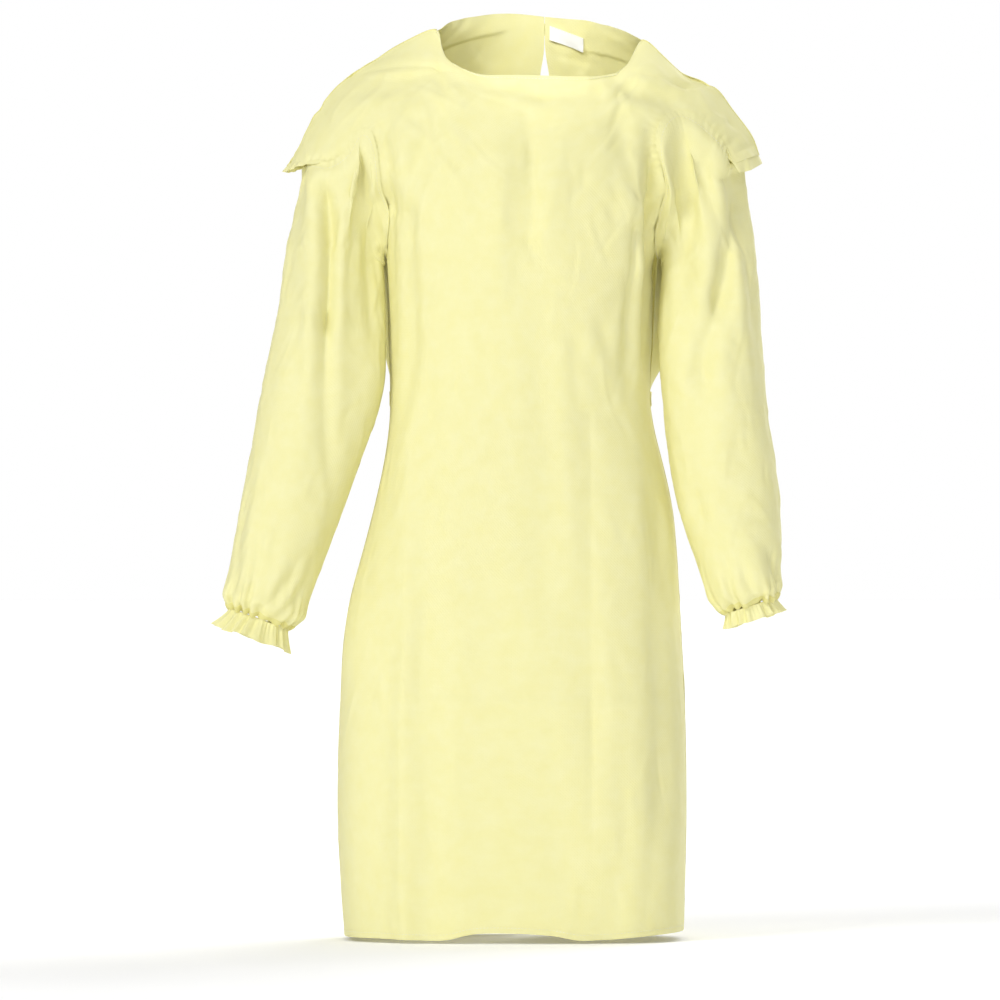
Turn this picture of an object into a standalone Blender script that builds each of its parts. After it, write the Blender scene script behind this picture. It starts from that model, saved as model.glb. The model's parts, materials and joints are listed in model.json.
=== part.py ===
"""Isolation gown: a thin nonwoven cover gown in its worn shape, with nobody in it.

Sizes are millimetres until a mesh is made. +Z is up, the front faces -Y, and the origin is the middle of the
shoulder line at the base of the neck. "l" is the -X side and "r" is the +X side.

Each piece of cloth is a grid of points on its outer face, thickened inwards to a wall with an open rim. Rows run
from the hem up on the body, and from the armhole down on a sleeve. Columns run from left to right.
"""

import math

import bpy
import numpy as np

# ---- sizes that set all the others ----
WALL = 1.5  # cloth with its loft
SEAM_GAP = 0.4  # between two pieces at a seam
ARMPIT_Z = -290.0
CENTRE_BACK = 28.0  # x of the back opening: the gown hangs a little askew
LOWER_ROWS = 14  # hem to armpit
UPPER_ROWS = 16  # armpit to shoulder seam
SHOULDER_COLUMNS = 9  # along one shoulder seam, front and back alike
NECK_COLUMNS = {"front": 10, "back": 5}  # across the front neck, and each half of the back neck
FRONT_COLUMNS = 2 * SHOULDER_COLUMNS + NECK_COLUMNS["front"]
BACK_COLUMNS = SHOULDER_COLUMNS + NECK_COLUMNS["back"]  # each half
CHEST_BULGE = 10.0
EDGE_PULL = 0.8  # how strongly a top edge's lean bends the cloth below it
EVENED_BELOW = 3  # rows below the armpit that are evened with those above it
EVENED_TIMES = 6
SEAM_EVENED_TIMES = 3

# ---- the body below the armholes, a row for each level ----
#   height, left side, right side, front, back, squareness
BODY_SECTIONS = (
    (-1118, -216, 197, -140, 136, 3.0),
    (-1074, -219, 198, -140, 136, 3.0),
    (-976, -224, 200, -139, 134, 2.9),
    (-830, -221, 198, -136, 130, 2.8),
    (-732, -214, 193, -132, 125, 2.7),
    (-634, -190, 187, -126, 118, 2.6),
    (-561, -172, 177, -118, 109, 2.5),
    (-500, -162, 161, -111, 99, 2.4),
    (-464, -160, 156, -108, 95, 2.4),
    (-415, -162, 159, -111, 97, 2.4),
    (-342, -165, 164, -117, 103, 2.5),
    (-290, -166, 167, -119, 106, 2.5),
)

# ---- the armhole seam, from the armpit to the tip of the dropped shoulder ----
#   outwards, forwards, backwards, upwards
ARMHOLE = (
    (0, 0, 0, 0),
    (2, 27, 26, 28),
    (6, 47, 44, 54),
    (18, 58, 53, 75),
    (42, 61, 57, 89),
    (80, 50, 48, 98),
    (108, 27, 26, 108),
    (121, 0, 0, 112),
)
TIP_RISE = {"l": 1.0, "r": 1.116}  # the right shoulder tip sits higher

# ---- shoulder seams, from the tip to the neck ----
#   x, y, z
SHOULDER = {
    "l": (
        (-287, 0, -178),
        (-274, 1, -159),
        (-265, 2, -140),
        (-253, 3, -116),
        (-237, 4, -95),
        (-218, 5, -73),
        (-183, 7, -50),
        (-161, 8, -36),
        (-135, 9, -22),
        (-104, 10, -12),
    ),
    "r": (
        (289, 0, -165),
        (285, 1, -151),
        (276, 2, -134),
        (260, 3, -114),
        (243, 4, -90),
        (229, 5, -78),
        (210, 6, -71),
        (192, 8, -62),
        (170, 10, -40),
        (146, 14, -24),
    ),
}

# ---- neck edge ----
NECK_FRONT = (
    (-104, 10, -12),
    (-99, -15, -33),
    (-88, -38, -53),
    (-64, -51, -65),
    (-27, -58, -68),
    (28, -62, -70),
    (83, -59, -71),
    (108, -47, -69),
    (129, -20, -54),
    (146, 14, -24),
)
NECK_BACK = {
    "l": ((-104, 10, -12), (-88, 31, -1), (-62, 46, 6), (-18, 57, 11), (28, 61, 7)),
    "r": ((28, 61, 7), (50, 59, 5), (89, 49, 0), (109, 41, -6), (126, 31, -12), (146, 14, -24)),
}

# How far the cloth leans over at its top edge, in degrees from upright
LEAN_SHOULDER, LEAN_NECK_FRONT, LEAN_NECK_BACK = 68.0, 28.0, 12.0

# ---- half the centre back opening at each height ----
#   height, half gap
BACK_OPENING = (
    (-1118, 22),
    (-830, 18),
    (-560, 9),
    (-464, 5),
    (-380, 12),
    (-220, 16),
    (-110, 9),
    (-67, 6.0),
    (-34, 0.4),
    (7, 0.3),
)

# ---- how far the hem lifts, by x ----
HEM_LIFT = {
    "front": ((-216, 2), (-170, 2), (-92, 0), (-70, 8), (-30, 10), (30, 8), (62, 1), (100, 1), (197, 9)),
    "back": ((-216, 2), (-120, 5), (0, 2), (90, 6), (197, 9)),
}
HEM_LIFT_FADE = (1.0, 0.6, 0.25)  # share of the lift at the lowest rows

# ---- soft folds of the body, as seen from the front or the back ----
#   face, x and z at the top, x and z at the bottom, half width, depth (minus stands proud)
BODY_FOLDS = (
    ("front", 2, -125, 10, -300, 17, 8.0),
    ("front", 10, -300, 30, -640, 20, 3.0),
    ("front", -143, -540, -143, -1118, 16, -5.0),
    ("front", -116, -520, -112, -1118, 26, 3.5),
    ("front", 80, -480, 82, -1040, 20, 2.5),
    ("front", 142, -262, 130, -430, 18, 11.0),
    ("front", -140, -240, -136, -420, 18, 8.0),
    ("front", 160, -540, 172, -960, 22, 6.0),
    ("front", 118, -130, 156, -250, 22, 7.0),
    ("front", -104, -120, -152, -235, 22, 6.0),
    ("front", -104, -70, -190, -84, 14, 5.0),
    ("front", 122, -88, 200, -96, 14, 6.0),
    ("back", -30, -28, -92, -44, 15, 5.0),
    ("back", 88, -34, 128, -54, 15, 5.0),
    ("back", -70, -110, -116, -400, 24, 9.0),
    ("back", 112, -120, 146, -400, 24, 9.0),
    ("back", -110, -480, -150, -1100, 28, 9.0),
    ("back", 112, -480, 150, -1100, 28, 9.0),
)

# ---- sleeves, a row for each section from the armpit down ----
#   outer x and z, inner x and z, forward shift, half depth
SLEEVE_SECTIONS = {
    "l": (
        (-290, -293, -168.5, -303, -6, 58),
        (-296, -342, -166.5, -346, -16, 58),
        (-305, -390, -165.5, -397, -22, 58),
        (-315, -439, -168.5, -451, -26, 57),
        (-324, -488, -184, -505, -29, 56),
        (-332, -537, -204, -559, -32, 54),
        (-342, -586, -223, -612, -35, 51),
        (-350, -634, -243, -665, -38, 48),
        (-360, -683, -259, -710, -41, 45),
        (-364, -702, -265, -731, -42, 41),
        (-354, -717, -285, -742, -43, 27),
    ),
    "r": (
        (286, -293, 169.5, -303, -6, 58),
        (290, -342, 167, -346, -16, 58),
        (292, -390, 166, -397, -22, 58),
        (296, -439, 169.5, -449, -26, 57),
        (300, -488, 174, -500, -29, 56),
        (308, -537, 181, -551, -32, 54),
        (313, -586, 192, -602, -35, 51),
        (315, -634, 209, -652, -38, 48),
        (315, -671, 221, -691, -41, 45),
        (315, -691, 231, -711, -42, 41),
        (308, -704, 248, -723, -43, 27),
    ),
}
SLEEVE_CAP_ROWS = 4  # between the armhole seam and the first section
SLEEVE_TUCK = (2.8, 19.0)  # how far the sleeve sets in under the seam, at the armpit and at the tip
SLEEVE_RISE = 1.9  # how far it runs on past the seam before it turns down
#   angle round from the inner side, half width (degrees), depth, first and last row
SLEEVE_FOLDS = {
    "l": ((58, 22, 9, 2, 12), (100, 16, 5, 2, 8), (150, 18, 4, 3, 12), (235, 22, 8, 2, 10), (300, 18, 6, 2, 9)),
    "r": ((66, 20, 9, 2, 9), (108, 18, 7, 2, 10), (150, 16, 4, 2, 8), (230, 22, 8, 2, 11), (290, 18, 6, 2, 9)),
}

# ---- gathered cuffs ----
CUFF_WALL = 1.0
CUFF_WAVES = 16
POINTS_A_WAVE = 4
CUFF_WAVE_DEPTH = 2.4
CUFF_ROWS = (0.0, 0.35, 0.7, 1.0)  # shares of the frill's length
SLOW_WAVE = (5, 0.35)  # waves and share of the depth that make the frill uneven
#   how far down the frill reaches, how far it flares, how far it tips back
CUFF_SHAPE = {"l": (25, 11, 0), "r": (18, 5, 8)}

# ---- ties and label ----
TIE_WIDTH = {"waist": 18.0, "neck": 11.0}
TIE_OFF = 0.5  # between a tie and the back
TIE_WALL = 1.2
WAIST_Z = -462.0
NECK_TIE_Z = -8.0
TIE_END = {"waist": (205, 235), "neck": (150, 128)}  # free lengths, left and right
KNOT = {"waist": (13, 7, 10), "neck": (8, 5.5, 8)}  # half sizes
KNOT_SQUARE = 0.7  # 1 would be round
KNOT_PINCH = 0.8
NECK_TIE_RUN = 34.0
TIE_ROOT = 3.0  # from the side seam to where the waist tie is sewn on
END_SPREAD = (3.0, 24.0)  # how far aside a free end hangs, at the knot and more at its tip
END_SWAY = 2.0
END_POINTS = 10
LABEL = {"in": 6.0, "top": -3.0, "width": 42.0, "height": 17.0, "fall": 0.27, "wall": 1.0, "off": 0.6}

# ---- colours, linear ----
CLOTH = (0.90, 0.86, 0.40, 1)
WHITE = (0.88, 0.88, 0.86, 1)


def spline(knots, values, at):
    """A smooth curve through the values at rising knots, read at the given places."""
    knots, values, at = (np.asarray(a, float) for a in (knots, values, at))
    slopes = np.gradient(values, knots, axis=0)
    i = np.clip(np.searchsorted(knots, at, side="right") - 1, 0, len(knots) - 2)
    h = knots[i + 1] - knots[i]
    s = (at - knots[i]) / h
    if values.ndim > 1:
        h, s = h[..., None], s[..., None]
    return (
        (2 * s**3 - 3 * s**2 + 1) * values[i]
        + (s**3 - 2 * s**2 + s) * h * slopes[i]
        + (3 * s**2 - 2 * s**3) * values[i + 1]
        + (s**3 - s**2) * h * slopes[i + 1]
    )


def lengths(points):
    """Distance of each point along its line, from 0 to 1."""
    steps = np.linalg.norm(np.diff(points, axis=0), axis=1)
    run = np.concatenate([[0], np.cumsum(steps)])
    return run / run[-1]


def along(points, at):
    points = np.asarray(points, float)
    return spline(lengths(points), points, at)


def unit(v):
    return v / np.maximum(np.linalg.norm(v, axis=-1, keepdims=True), 1e-9)


def hermite(start, start_way, end, end_way, v):
    v = v[:, None, None]
    return (
        (2 * v**3 - 3 * v**2 + 1) * start
        + (v**3 - 2 * v**2 + v) * start_way
        + (3 * v**2 - 2 * v**3) * end
        + (v**3 - v**2) * end_way
    )


def grid_normals(grid, around=False):
    """Unit normals of a grid of points, from the steps to its neighbours. `around` closes the columns."""
    if around:
        across = np.roll(grid, -1, 1) - np.roll(grid, 1, 1)
    else:
        across = np.gradient(grid, axis=1)
    return unit(np.cross(across, np.gradient(grid, axis=0)))


def soft(distance, half_width):
    return np.exp(-0.5 * (distance / (0.5 * half_width)) ** 2)


# ---- body ----


def section(z, face, share):
    """Points of the body at height z, across the front or the back, from left (share 0) to right (share 1)."""
    table = np.array(BODY_SECTIONS)
    left, right, front, back, square = (spline(table[:, 0], table[:, k], z) for k in range(1, 6))
    turn = math.pi * np.asarray(share, float)
    cos, sin = np.cos(turn), np.sin(turn)
    depth = front if face == "front" else back
    x = (left + right) / 2 - (right - left) / 2 * np.sign(cos) * np.abs(cos) ** (2 / square)
    y = depth * np.abs(sin) ** (2 / square)
    return np.stack([x, y, np.full_like(x, z)], -1)


def armhole(side, face):
    """The armhole seam from armpit to tip, a point for each upper row."""
    table = np.array(ARMHOLE, float)
    pit = section(ARMPIT_Z, "front", [0.0 if side == "l" else 1.0])[0]
    sign = -1 if side == "l" else 1
    reach = abs(SHOULDER[side][0][0] - pit[0]) / table[-1, 0]
    x = pit[0] + sign * table[:, 0] * reach
    y = -table[:, 1] if face == "front" else table[:, 2]
    z = ARMPIT_Z + table[:, 3] * TIP_RISE[side]
    points = np.stack([x, y, z], -1)
    points[-1] = SHOULDER[side][0]
    return along(points, np.linspace(0, 1, UPPER_ROWS + 1))


def top_edge(parts):
    """Curves end to end, each (points, leans), as a point and a lean in radians for each column."""
    points, leans = [], []
    for curve, lean in parts:
        skip = 1 if points else 0
        points += list(along(curve, np.linspace(0, 1, len(lean)))[skip:])
        leans += list(lean)[skip:]
    return np.array(points), np.radians(leans)


def neck_lean(columns, upright, side_at):
    """Leans across a neck edge: the shoulder's at its sides, near upright in the middle."""
    share = np.linspace(0, 1, columns + 1)
    off = np.abs(2 * share - 1) if side_at == "both" else (1 - share if side_at == "start" else share)
    return upright + (LEAN_SHOULDER - upright) * off**1.3


def upper_grid(bottom, below, edge, leans, lean_way, hold, left=None, right=None):
    """The cloth from the armpit level up to its top edge, fitted to its side curves.

    The larger `hold` is, the nearer to the sides their curves' effect stays.
    """
    v = np.linspace(0, 1, UPPER_ROWS + 1)
    reach = np.linalg.norm(edge - bottom, axis=1)[:, None]
    up = unit(bottom - below) * reach
    over = np.stack([np.zeros_like(leans), lean_way * np.sin(leans), np.cos(leans)], -1) * reach * EDGE_PULL
    grid = hermite(bottom, up, edge, over, v)
    share = np.linspace(0, 1, len(bottom))[None, :, None]
    if left is not None:
        grid = grid + (1 - share) ** hold * (left - grid[:, 0])[:, None]
    if right is not None:
        grid = grid + share**hold * (right - grid[:, -1])[:, None]
    return grid


def evened(grid):
    """Evens the points from just below the armpit up, with the grid's edges held."""
    rows = slice(LOWER_ROWS - EVENED_BELOW, None)
    for _ in range(EVENED_TIMES):
        mean = (grid[:-2, 1:-1] + grid[2:, 1:-1] + grid[1:-1, :-2] + grid[1:-1, 2:]) / 4
        grid[1:-1, 1:-1][rows] = (grid[1:-1, 1:-1][rows] + mean[rows]) / 2
    return grid


def lower_heights():
    return np.linspace(BODY_SECTIONS[0][0], ARMPIT_Z, LOWER_ROWS + 1)[:-1]


def opening_at(z):
    table = np.array(BACK_OPENING, float)
    return np.interp(z, table[:, 0], table[:, 1])


def folded(grid, face):
    """Presses the body's folds into a grid."""
    normals = grid_normals(grid)
    facing = np.clip((-1 if face == "front" else 1) * normals[..., 1] * 2.5, 0, 1)
    depth = np.zeros(grid.shape[:2])
    for side, x0, z0, x1, z1, half_width, deep in BODY_FOLDS:
        if side != face:
            continue
        start, run = np.array([x0, z0], float), np.array([x1 - x0, z1 - z0], float)
        flat = grid[..., [0, 2]] - start
        share = (flat @ run) / (run @ run)
        off = np.linalg.norm(flat - np.clip(share, 0, 1)[..., None] * run, axis=-1)
        depth += deep * soft(off, half_width) * facing
    return grid - normals * depth[..., None]


def lifted(rows, face):
    """Lifts the hem."""
    lift = np.array(HEM_LIFT[face], float)
    for row, fade in zip(rows, HEM_LIFT_FADE):
        row[:, 2] += np.interp(row[:, 0], lift[:, 0], lift[:, 1]) * fade
    return rows


def front_grid():
    share = np.linspace(0, 1, FRONT_COLUMNS + 1)
    rows = lifted([section(z, "front", share) for z in lower_heights()], "front")
    bottom = section(ARMPIT_Z, "front", share)
    shoulder_lean = [LEAN_SHOULDER] * (SHOULDER_COLUMNS + 1)
    parts = (
        (SHOULDER["l"], shoulder_lean),
        (NECK_FRONT, neck_lean(NECK_COLUMNS["front"], LEAN_NECK_FRONT, "both")),
        (SHOULDER["r"][::-1], shoulder_lean),
    )
    edge, leans = top_edge(parts)
    upper = upper_grid(bottom, rows[-1], edge, leans, 1, 4, armhole("l", "front"), armhole("r", "front"))
    swell = np.sin(np.pi * np.linspace(0, 1, UPPER_ROWS + 1))[:, None] * np.sin(np.pi * share)[None] ** 2
    upper[..., 1] -= CHEST_BULGE * swell
    grid = np.concatenate([np.array(rows), upper])
    return folded(evened(grid), "front")


def back_grid(side):
    """Half the back, from left to right: its side seam and armhole, and the centre edge."""
    table = np.linspace(0, 1, BACK_COLUMNS + 1)
    sign = -1 if side == "l" else 1

    def half(z):
        # the share of the whole back at which the centre edge lies
        wide = section(z, "back", np.linspace(0, 1, 400))
        centre = np.interp(CENTRE_BACK + sign * opening_at(z), wide[:, 0], np.linspace(0, 1, 400))
        return section(z, "back", table * centre if side == "l" else centre + table * (1 - centre))

    rows = lifted([half(z) for z in lower_heights()], "back")
    bottom = half(ARMPIT_Z)
    shoulder = (SHOULDER[side][:: -sign], [LEAN_SHOULDER] * (SHOULDER_COLUMNS + 1))
    side_at = "start" if side == "l" else "end"
    neck = (NECK_BACK[side], neck_lean(NECK_COLUMNS["back"], LEAN_NECK_BACK, side_at))
    edge, leans = top_edge((shoulder, neck) if side == "l" else (neck, shoulder))
    seam = armhole(side, "back")
    sides = {"left": seam} if side == "l" else {"right": seam}
    upper = upper_grid(bottom, rows[-1], edge, leans, -1, 2, **sides)
    middle = upper[:, -1] if side == "l" else upper[:, 0]
    shift = (CENTRE_BACK + sign * opening_at(middle[:, 2]) - middle[:, 0])[:, None]
    toward = table if side == "l" else 1 - table
    upper[..., 0] += shift * toward[None] ** 3
    grid = np.concatenate([np.array(rows), upper])
    return folded(evened(grid), "back")


def pulled_in(grid, edges):
    """Moves the named edges of a grid in by half the seam gap."""
    grid = grid.copy()
    half = SEAM_GAP / 2
    if "left" in edges:
        grid[:, 0] += unit(grid[:, 1] - grid[:, 0]) * half
    if "right" in edges:
        grid[:, -1] += unit(grid[:, -2] - grid[:, -1]) * half
    if "top" in edges:
        grid[-1] += unit(grid[-2] - grid[-1]) * half
    return grid


# ---- meshes ----


def wall_mesh(name, outer, normals, wall, around=False):
    """A closed wall: the outer grid, the same grid moved in along its normals, and a rim between them."""
    rows, columns = outer.shape[:2]
    inner = outer - normals * wall
    points = np.concatenate([outer.reshape(-1, 3), inner.reshape(-1, 3)])
    back = rows * columns
    steps = columns if around else columns - 1

    def at(row, column):
        return row * columns + column % columns

    faces = []
    for row in range(rows - 1):
        for column in range(steps):
            a, b = at(row, column), at(row, column + 1)
            c, d = at(row + 1, column + 1), at(row + 1, column)
            faces.append((a, b, c, d))
            faces.append((back + d, back + c, back + b, back + a))
    for column in range(steps):
        a, b = at(0, column), at(0, column + 1)
        faces.append((b, a, back + a, back + b))
        a, b = at(rows - 1, column), at(rows - 1, column + 1)
        faces.append((a, b, back + b, back + a))
    if not around:
        for row in range(rows - 1):
            a, b = at(row, 0), at(row + 1, 0)
            faces.append((a, b, back + b, back + a))
            a, b = at(row, columns - 1), at(row + 1, columns - 1)
            faces.append((b, a, back + a, back + b))
    if np.einsum("ijk,ijk->", grid_normals(outer, around), normals) < 0:
        faces = [face[::-1] for face in faces]
    return mesh_object(name, points, faces)


def mesh_object(name, points, faces):
    mesh = bpy.data.meshes.new(name)
    mesh.from_pydata((np.asarray(points) / 1000).tolist(), [], faces)
    mesh.update()
    mesh.shade_smooth()
    mesh.set_sharp_from_angle(angle=math.radians(50))
    obj = bpy.data.objects.new(name, mesh)
    bpy.context.collection.objects.link(obj)
    return obj


def material(name, colour, roughness):
    made = bpy.data.materials.new(name)
    made.use_nodes = True
    shader = made.node_tree.nodes["Principled BSDF"]
    shader.inputs["Base Color"].default_value = colour
    shader.inputs["Roughness"].default_value = roughness
    shader.inputs["Metallic"].default_value = 0.0
    return made


# ---- sleeves ----


def armhole_ring(panels, side):
    """Points, outward normals and ways into the panel round one armhole: armpit, front, tip, back."""
    column, step = (0, 1) if side == "l" else (-1, -2)
    halves = []
    for key in ("front", "back_" + side):
        grid, normals = panels[key]
        rows = slice(LOWER_ROWS, None)
        halves.append((grid[rows, column], normals[rows, column], grid[rows, step]))
    (p, n, q), (bp, bn, bq) = halves
    points = np.concatenate([p, bp[-2:0:-1]])
    normals = np.concatenate([n, bn[-2:0:-1]])
    inside = np.concatenate([q, bq[-2:0:-1]])
    for row, low in ((0, 0), (UPPER_ROWS, -1)):
        points[row] = (p[low] + bp[low]) / 2
        normals[row] = unit(n[low] + bn[low])
        inside[row] = (q[low] + bq[low]) / 2
    return points, normals, inside


def sleeve_ring(side, row, turn):
    outer_x, outer_z, inner_x, inner_z, forward, depth = row
    outer, inner = np.array([outer_x, forward, outer_z]), np.array([inner_x, forward, inner_z])
    across = (inner - outer) / 2
    return (outer + inner) / 2 + np.cos(turn)[:, None] * across + np.sin(turn)[:, None] * [0, -depth, 0]


def sleeve_grid(panels, side):
    """The sleeve's outer face and its normals, from the armhole seam to the elastic."""
    ring, ring_normals, inside = armhole_ring(panels, side)
    count = len(ring)
    turn = np.linspace(0, 2 * np.pi, count, endpoint=False)
    tangent = unit(np.roll(ring, -1, 0) - np.roll(ring, 1, 0))
    away = unit(np.cross(tangent, ring_normals))
    away *= np.sign(np.einsum("ij,ij->i", away, ring - inside))[:, None]
    edge = ring + away * SEAM_GAP
    centre = ring.mean(0)
    tipwards = (1 - np.cos(turn)) / 2
    tuck = SLEEVE_TUCK[0] + (SLEEVE_TUCK[1] - SLEEVE_TUCK[0]) * tipwards**3
    shelf = edge + away * SLEEVE_RISE + unit(centre - ring) * tuck[:, None]
    sections = [sleeve_ring(side, row, turn) for row in SLEEVE_SECTIONS[side]]
    fall = sections[1] - sections[0]
    reach = np.linalg.norm(sections[0] - shelf, axis=1)[:, None]
    v = np.linspace(0, 1, SLEEVE_CAP_ROWS + 1)
    cap = hermite(shelf, np.array([0, 0, -0.8]) * reach, sections[0], unit(fall) * reach, v)
    rows = np.concatenate([edge[None], cap, np.array(sections[1:])])
    normals = sleeve_normals(rows)
    depth = np.zeros(rows.shape[:2])
    for angle, half_width, deep, first, last in SLEEVE_FOLDS[side]:
        gap = (np.degrees(turn) - angle + 180) % 360 - 180
        level = np.arange(len(rows))
        fade = np.clip((level - first + 1) / 2, 0, 1) * np.clip((last - level) / 4, 0, 1)
        depth += deep * fade[:, None] * soft(gap, half_width * 1.6)[None]
    rows = rows - normals * depth[..., None]
    normals = sleeve_normals(rows)
    normals[0] = ring_normals
    return rows, normals


def sleeve_normals(rows):
    normals = grid_normals(rows, around=True)
    middle = rows.mean(1, keepdims=True)
    if np.einsum("ijk,ijk->", normals[3:], rows[3:] - middle[3:]) < 0:
        normals = -normals
    return normals


def cuff_grid(side):
    """The frill below the elastic."""
    count = CUFF_WAVES * POINTS_A_WAVE
    turn = np.linspace(0, 2 * np.pi, count, endpoint=False)
    last = SLEEVE_SECTIONS[side][-1]
    ring = sleeve_ring(side, last, turn)
    middle = ring.mean(0)
    outer, inner = np.array([last[0], 0, last[1]]), np.array([last[2], 0, last[3]])
    down = unit(np.cross(inner - outer, [0, 1, 0]))
    down = down if down[2] < 0 else -down
    length, flare, back = CUFF_SHAPE[side]
    radial = unit(ring - middle)
    wave = np.sin(turn * CUFF_WAVES) + SLOW_WAVE[1] * np.sin(turn * SLOW_WAVE[0] + 1)
    rows = []
    for share in CUFF_ROWS:
        swing = wave[:, None] * radial * CUFF_WAVE_DEPTH * (0.35 + 0.65 * share)
        drop = down * (1.5 * SEAM_GAP + share * length) * (1 + 0.06 * np.sin(turn * 3)[:, None] * share)
        rows.append(ring + radial * flare * share**1.3 + swing + drop + np.array([0, back, 0]) * share)
    rows = np.array(rows)
    normals = sleeve_normals(rows)
    normals[0] = unit(normals[0] - down * (normals[0] @ down)[:, None])
    return rows, normals


# ---- ties and label ----


def strap(name, low, high, normals, wall):
    """A flat strip between two edge lines, its face along the normals."""
    grid = np.stack([low, high], 1)
    return wall_mesh(name, grid + normals * wall, normals, wall)


def knot(name, centre, half):
    """A flat knot: a rounded block, pinched a little at its middle."""
    rings, around = 6, 16
    points = [np.array([0, 0, 1.0])]
    for i in range(1, rings):
        for j in range(around):
            tilt, turn = math.pi * i / rings, 2 * math.pi * j / around
            way = (math.sin(tilt) * math.cos(turn), math.sin(tilt) * math.sin(turn), math.cos(tilt))
            x, y, z = (math.copysign(abs(share) ** KNOT_SQUARE, share) for share in way)
            points.append([x, y, z * (KNOT_PINCH + (1 - KNOT_PINCH) * x * x)])
    points.append(np.array([0, 0, -1.0]))
    points[0], points[-1] = points[0] * KNOT_PINCH, points[-1] * KNOT_PINCH
    last = len(points) - 1
    faces = []
    for j in range(around):
        k = (j + 1) % around
        faces.append((0, 1 + j, 1 + k))
        faces.append((last, last - around + k, last - around + j))
        for i in range(rings - 2):
            a, b = 1 + i * around, 1 + (i + 1) * around
            faces.append((a + j, b + j, b + k, a + k))
    return mesh_object(name, np.array(points) * half + centre, faces)


def back_row(panels, side, z):
    """A back panel's outer face at height z, from the centre edge outwards: points, normals and distances."""
    grid, normals = panels["back_" + side]
    if side == "l":
        grid, normals = grid[:, ::-1], normals[:, ::-1]
    level = np.interp(z, grid[:, 0, 2], np.arange(len(grid)))
    low = min(int(level), len(grid) - 2)
    share = level - low
    row = grid[low] * (1 - share) + grid[low + 1] * share
    row_normals = unit(normals[low] * (1 - share) + normals[low + 1] * share)
    steps = np.linalg.norm(np.diff(row, axis=0), axis=1)
    return row, row_normals, np.concatenate([[0], np.cumsum(steps)])


def back_points(panels, side, z, at):
    """Points on a back panel at height z and at distances from its centre edge, with their normals."""
    row, normals, run = back_row(panels, side, z)
    points = np.stack([np.interp(at, run, row[:, k]) for k in range(3)], -1)
    facing = np.stack([np.interp(at, run, normals[:, k]) for k in range(3)], -1)
    return points, unit(facing)


def tie_set(kind, panels, z, run_length):
    """One pair of ties: a run over each back panel to a knot at the centre, and two hanging ends."""
    half = np.array(KNOT[kind], float)
    width = TIE_WIDTH[kind]
    middle = np.mean([back_row(panels, s, z)[0][0] for s in "lr"], axis=0)
    centre = np.array([CENTRE_BACK, middle[1] + 2 * TIE_OFF + half[1], z])
    made = [knot(kind + "_knot", centre, half)]
    for side, sign, end in (("l", -1, TIE_END[kind][0]), ("r", 1, TIE_END[kind][1])):
        run = back_row(panels, side, z)[2]
        far = run[-1] - TIE_ROOT if run_length is None else run_length
        at = np.concatenate([[far], run[(run < far - 4) & (run > half[0] + 4)][::-1]])
        edges = []
        stop = centre + [sign * (half[0] + SEAM_GAP), -half[1] * 0.3, 0]
        for lift in (-width / 2, width / 2):
            points, normals = back_points(panels, side, z + lift, at)
            last = stop + [0, 0, lift * 0.6]
            edges.append(np.concatenate([points + normals * TIE_OFF, [last]]))
        facing = np.concatenate([normals, [[0, 1, 0]]])
        facing = np.stack([facing, facing], 1)
        made.append(strap(f"{kind}_tie_{side}", edges[0], edges[1], facing, TIE_WALL))
        made.append(hanging_end(f"{kind}_end_{side}", panels, side, centre, half, end, width * 0.8))
    return made


def hanging_end(name, panels, side, centre, half, length, width):
    """A tie's free end, which hangs from under the knot over the back panel."""
    top = centre[2] - half[2] - SEAM_GAP
    near, far, facing = [], [], []
    for share in np.linspace(0, 1, END_POINTS):
        z = top - length * share
        aside = END_SPREAD[0] + END_SPREAD[1] * share**1.2
        (a, b), (n, m) = back_points(panels, side, z, [aside, aside + width])
        off = 2 * TIE_OFF + END_SWAY * math.sin(math.pi * share)
        near.append(a + n * off)
        far.append(b + m * off)
        facing.append([n, m])
    return strap(name, np.array(near), np.array(far), np.array(facing), TIE_WALL)


def neck_label(panels):
    """The small tag inside the right back neck."""
    rows, facing = [], []
    for v in np.linspace(0, 1, 4):
        line = []
        for u in np.linspace(0, 1, 7):
            along_neck = LABEL["width"] * u
            z = LABEL["top"] - LABEL["height"] * v - LABEL["fall"] * along_neck
            line.append(back_points(panels, "r", z, [LABEL["in"] + along_neck]))
        rows.append([point[0] for point, _ in line])
        facing.append([-normal[0] for _, normal in line])
    rows, facing = np.array(rows), np.array(facing)
    face = rows + facing * (WALL + LABEL["off"] + LABEL["wall"])
    return wall_mesh("neck_label", face, facing, LABEL["wall"])


# ---- the gown ----


def outward(grid, away_from):
    normals = grid_normals(grid)
    return normals if np.einsum("ijk,ijk->", normals, grid - away_from) > 0 else -normals


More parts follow.
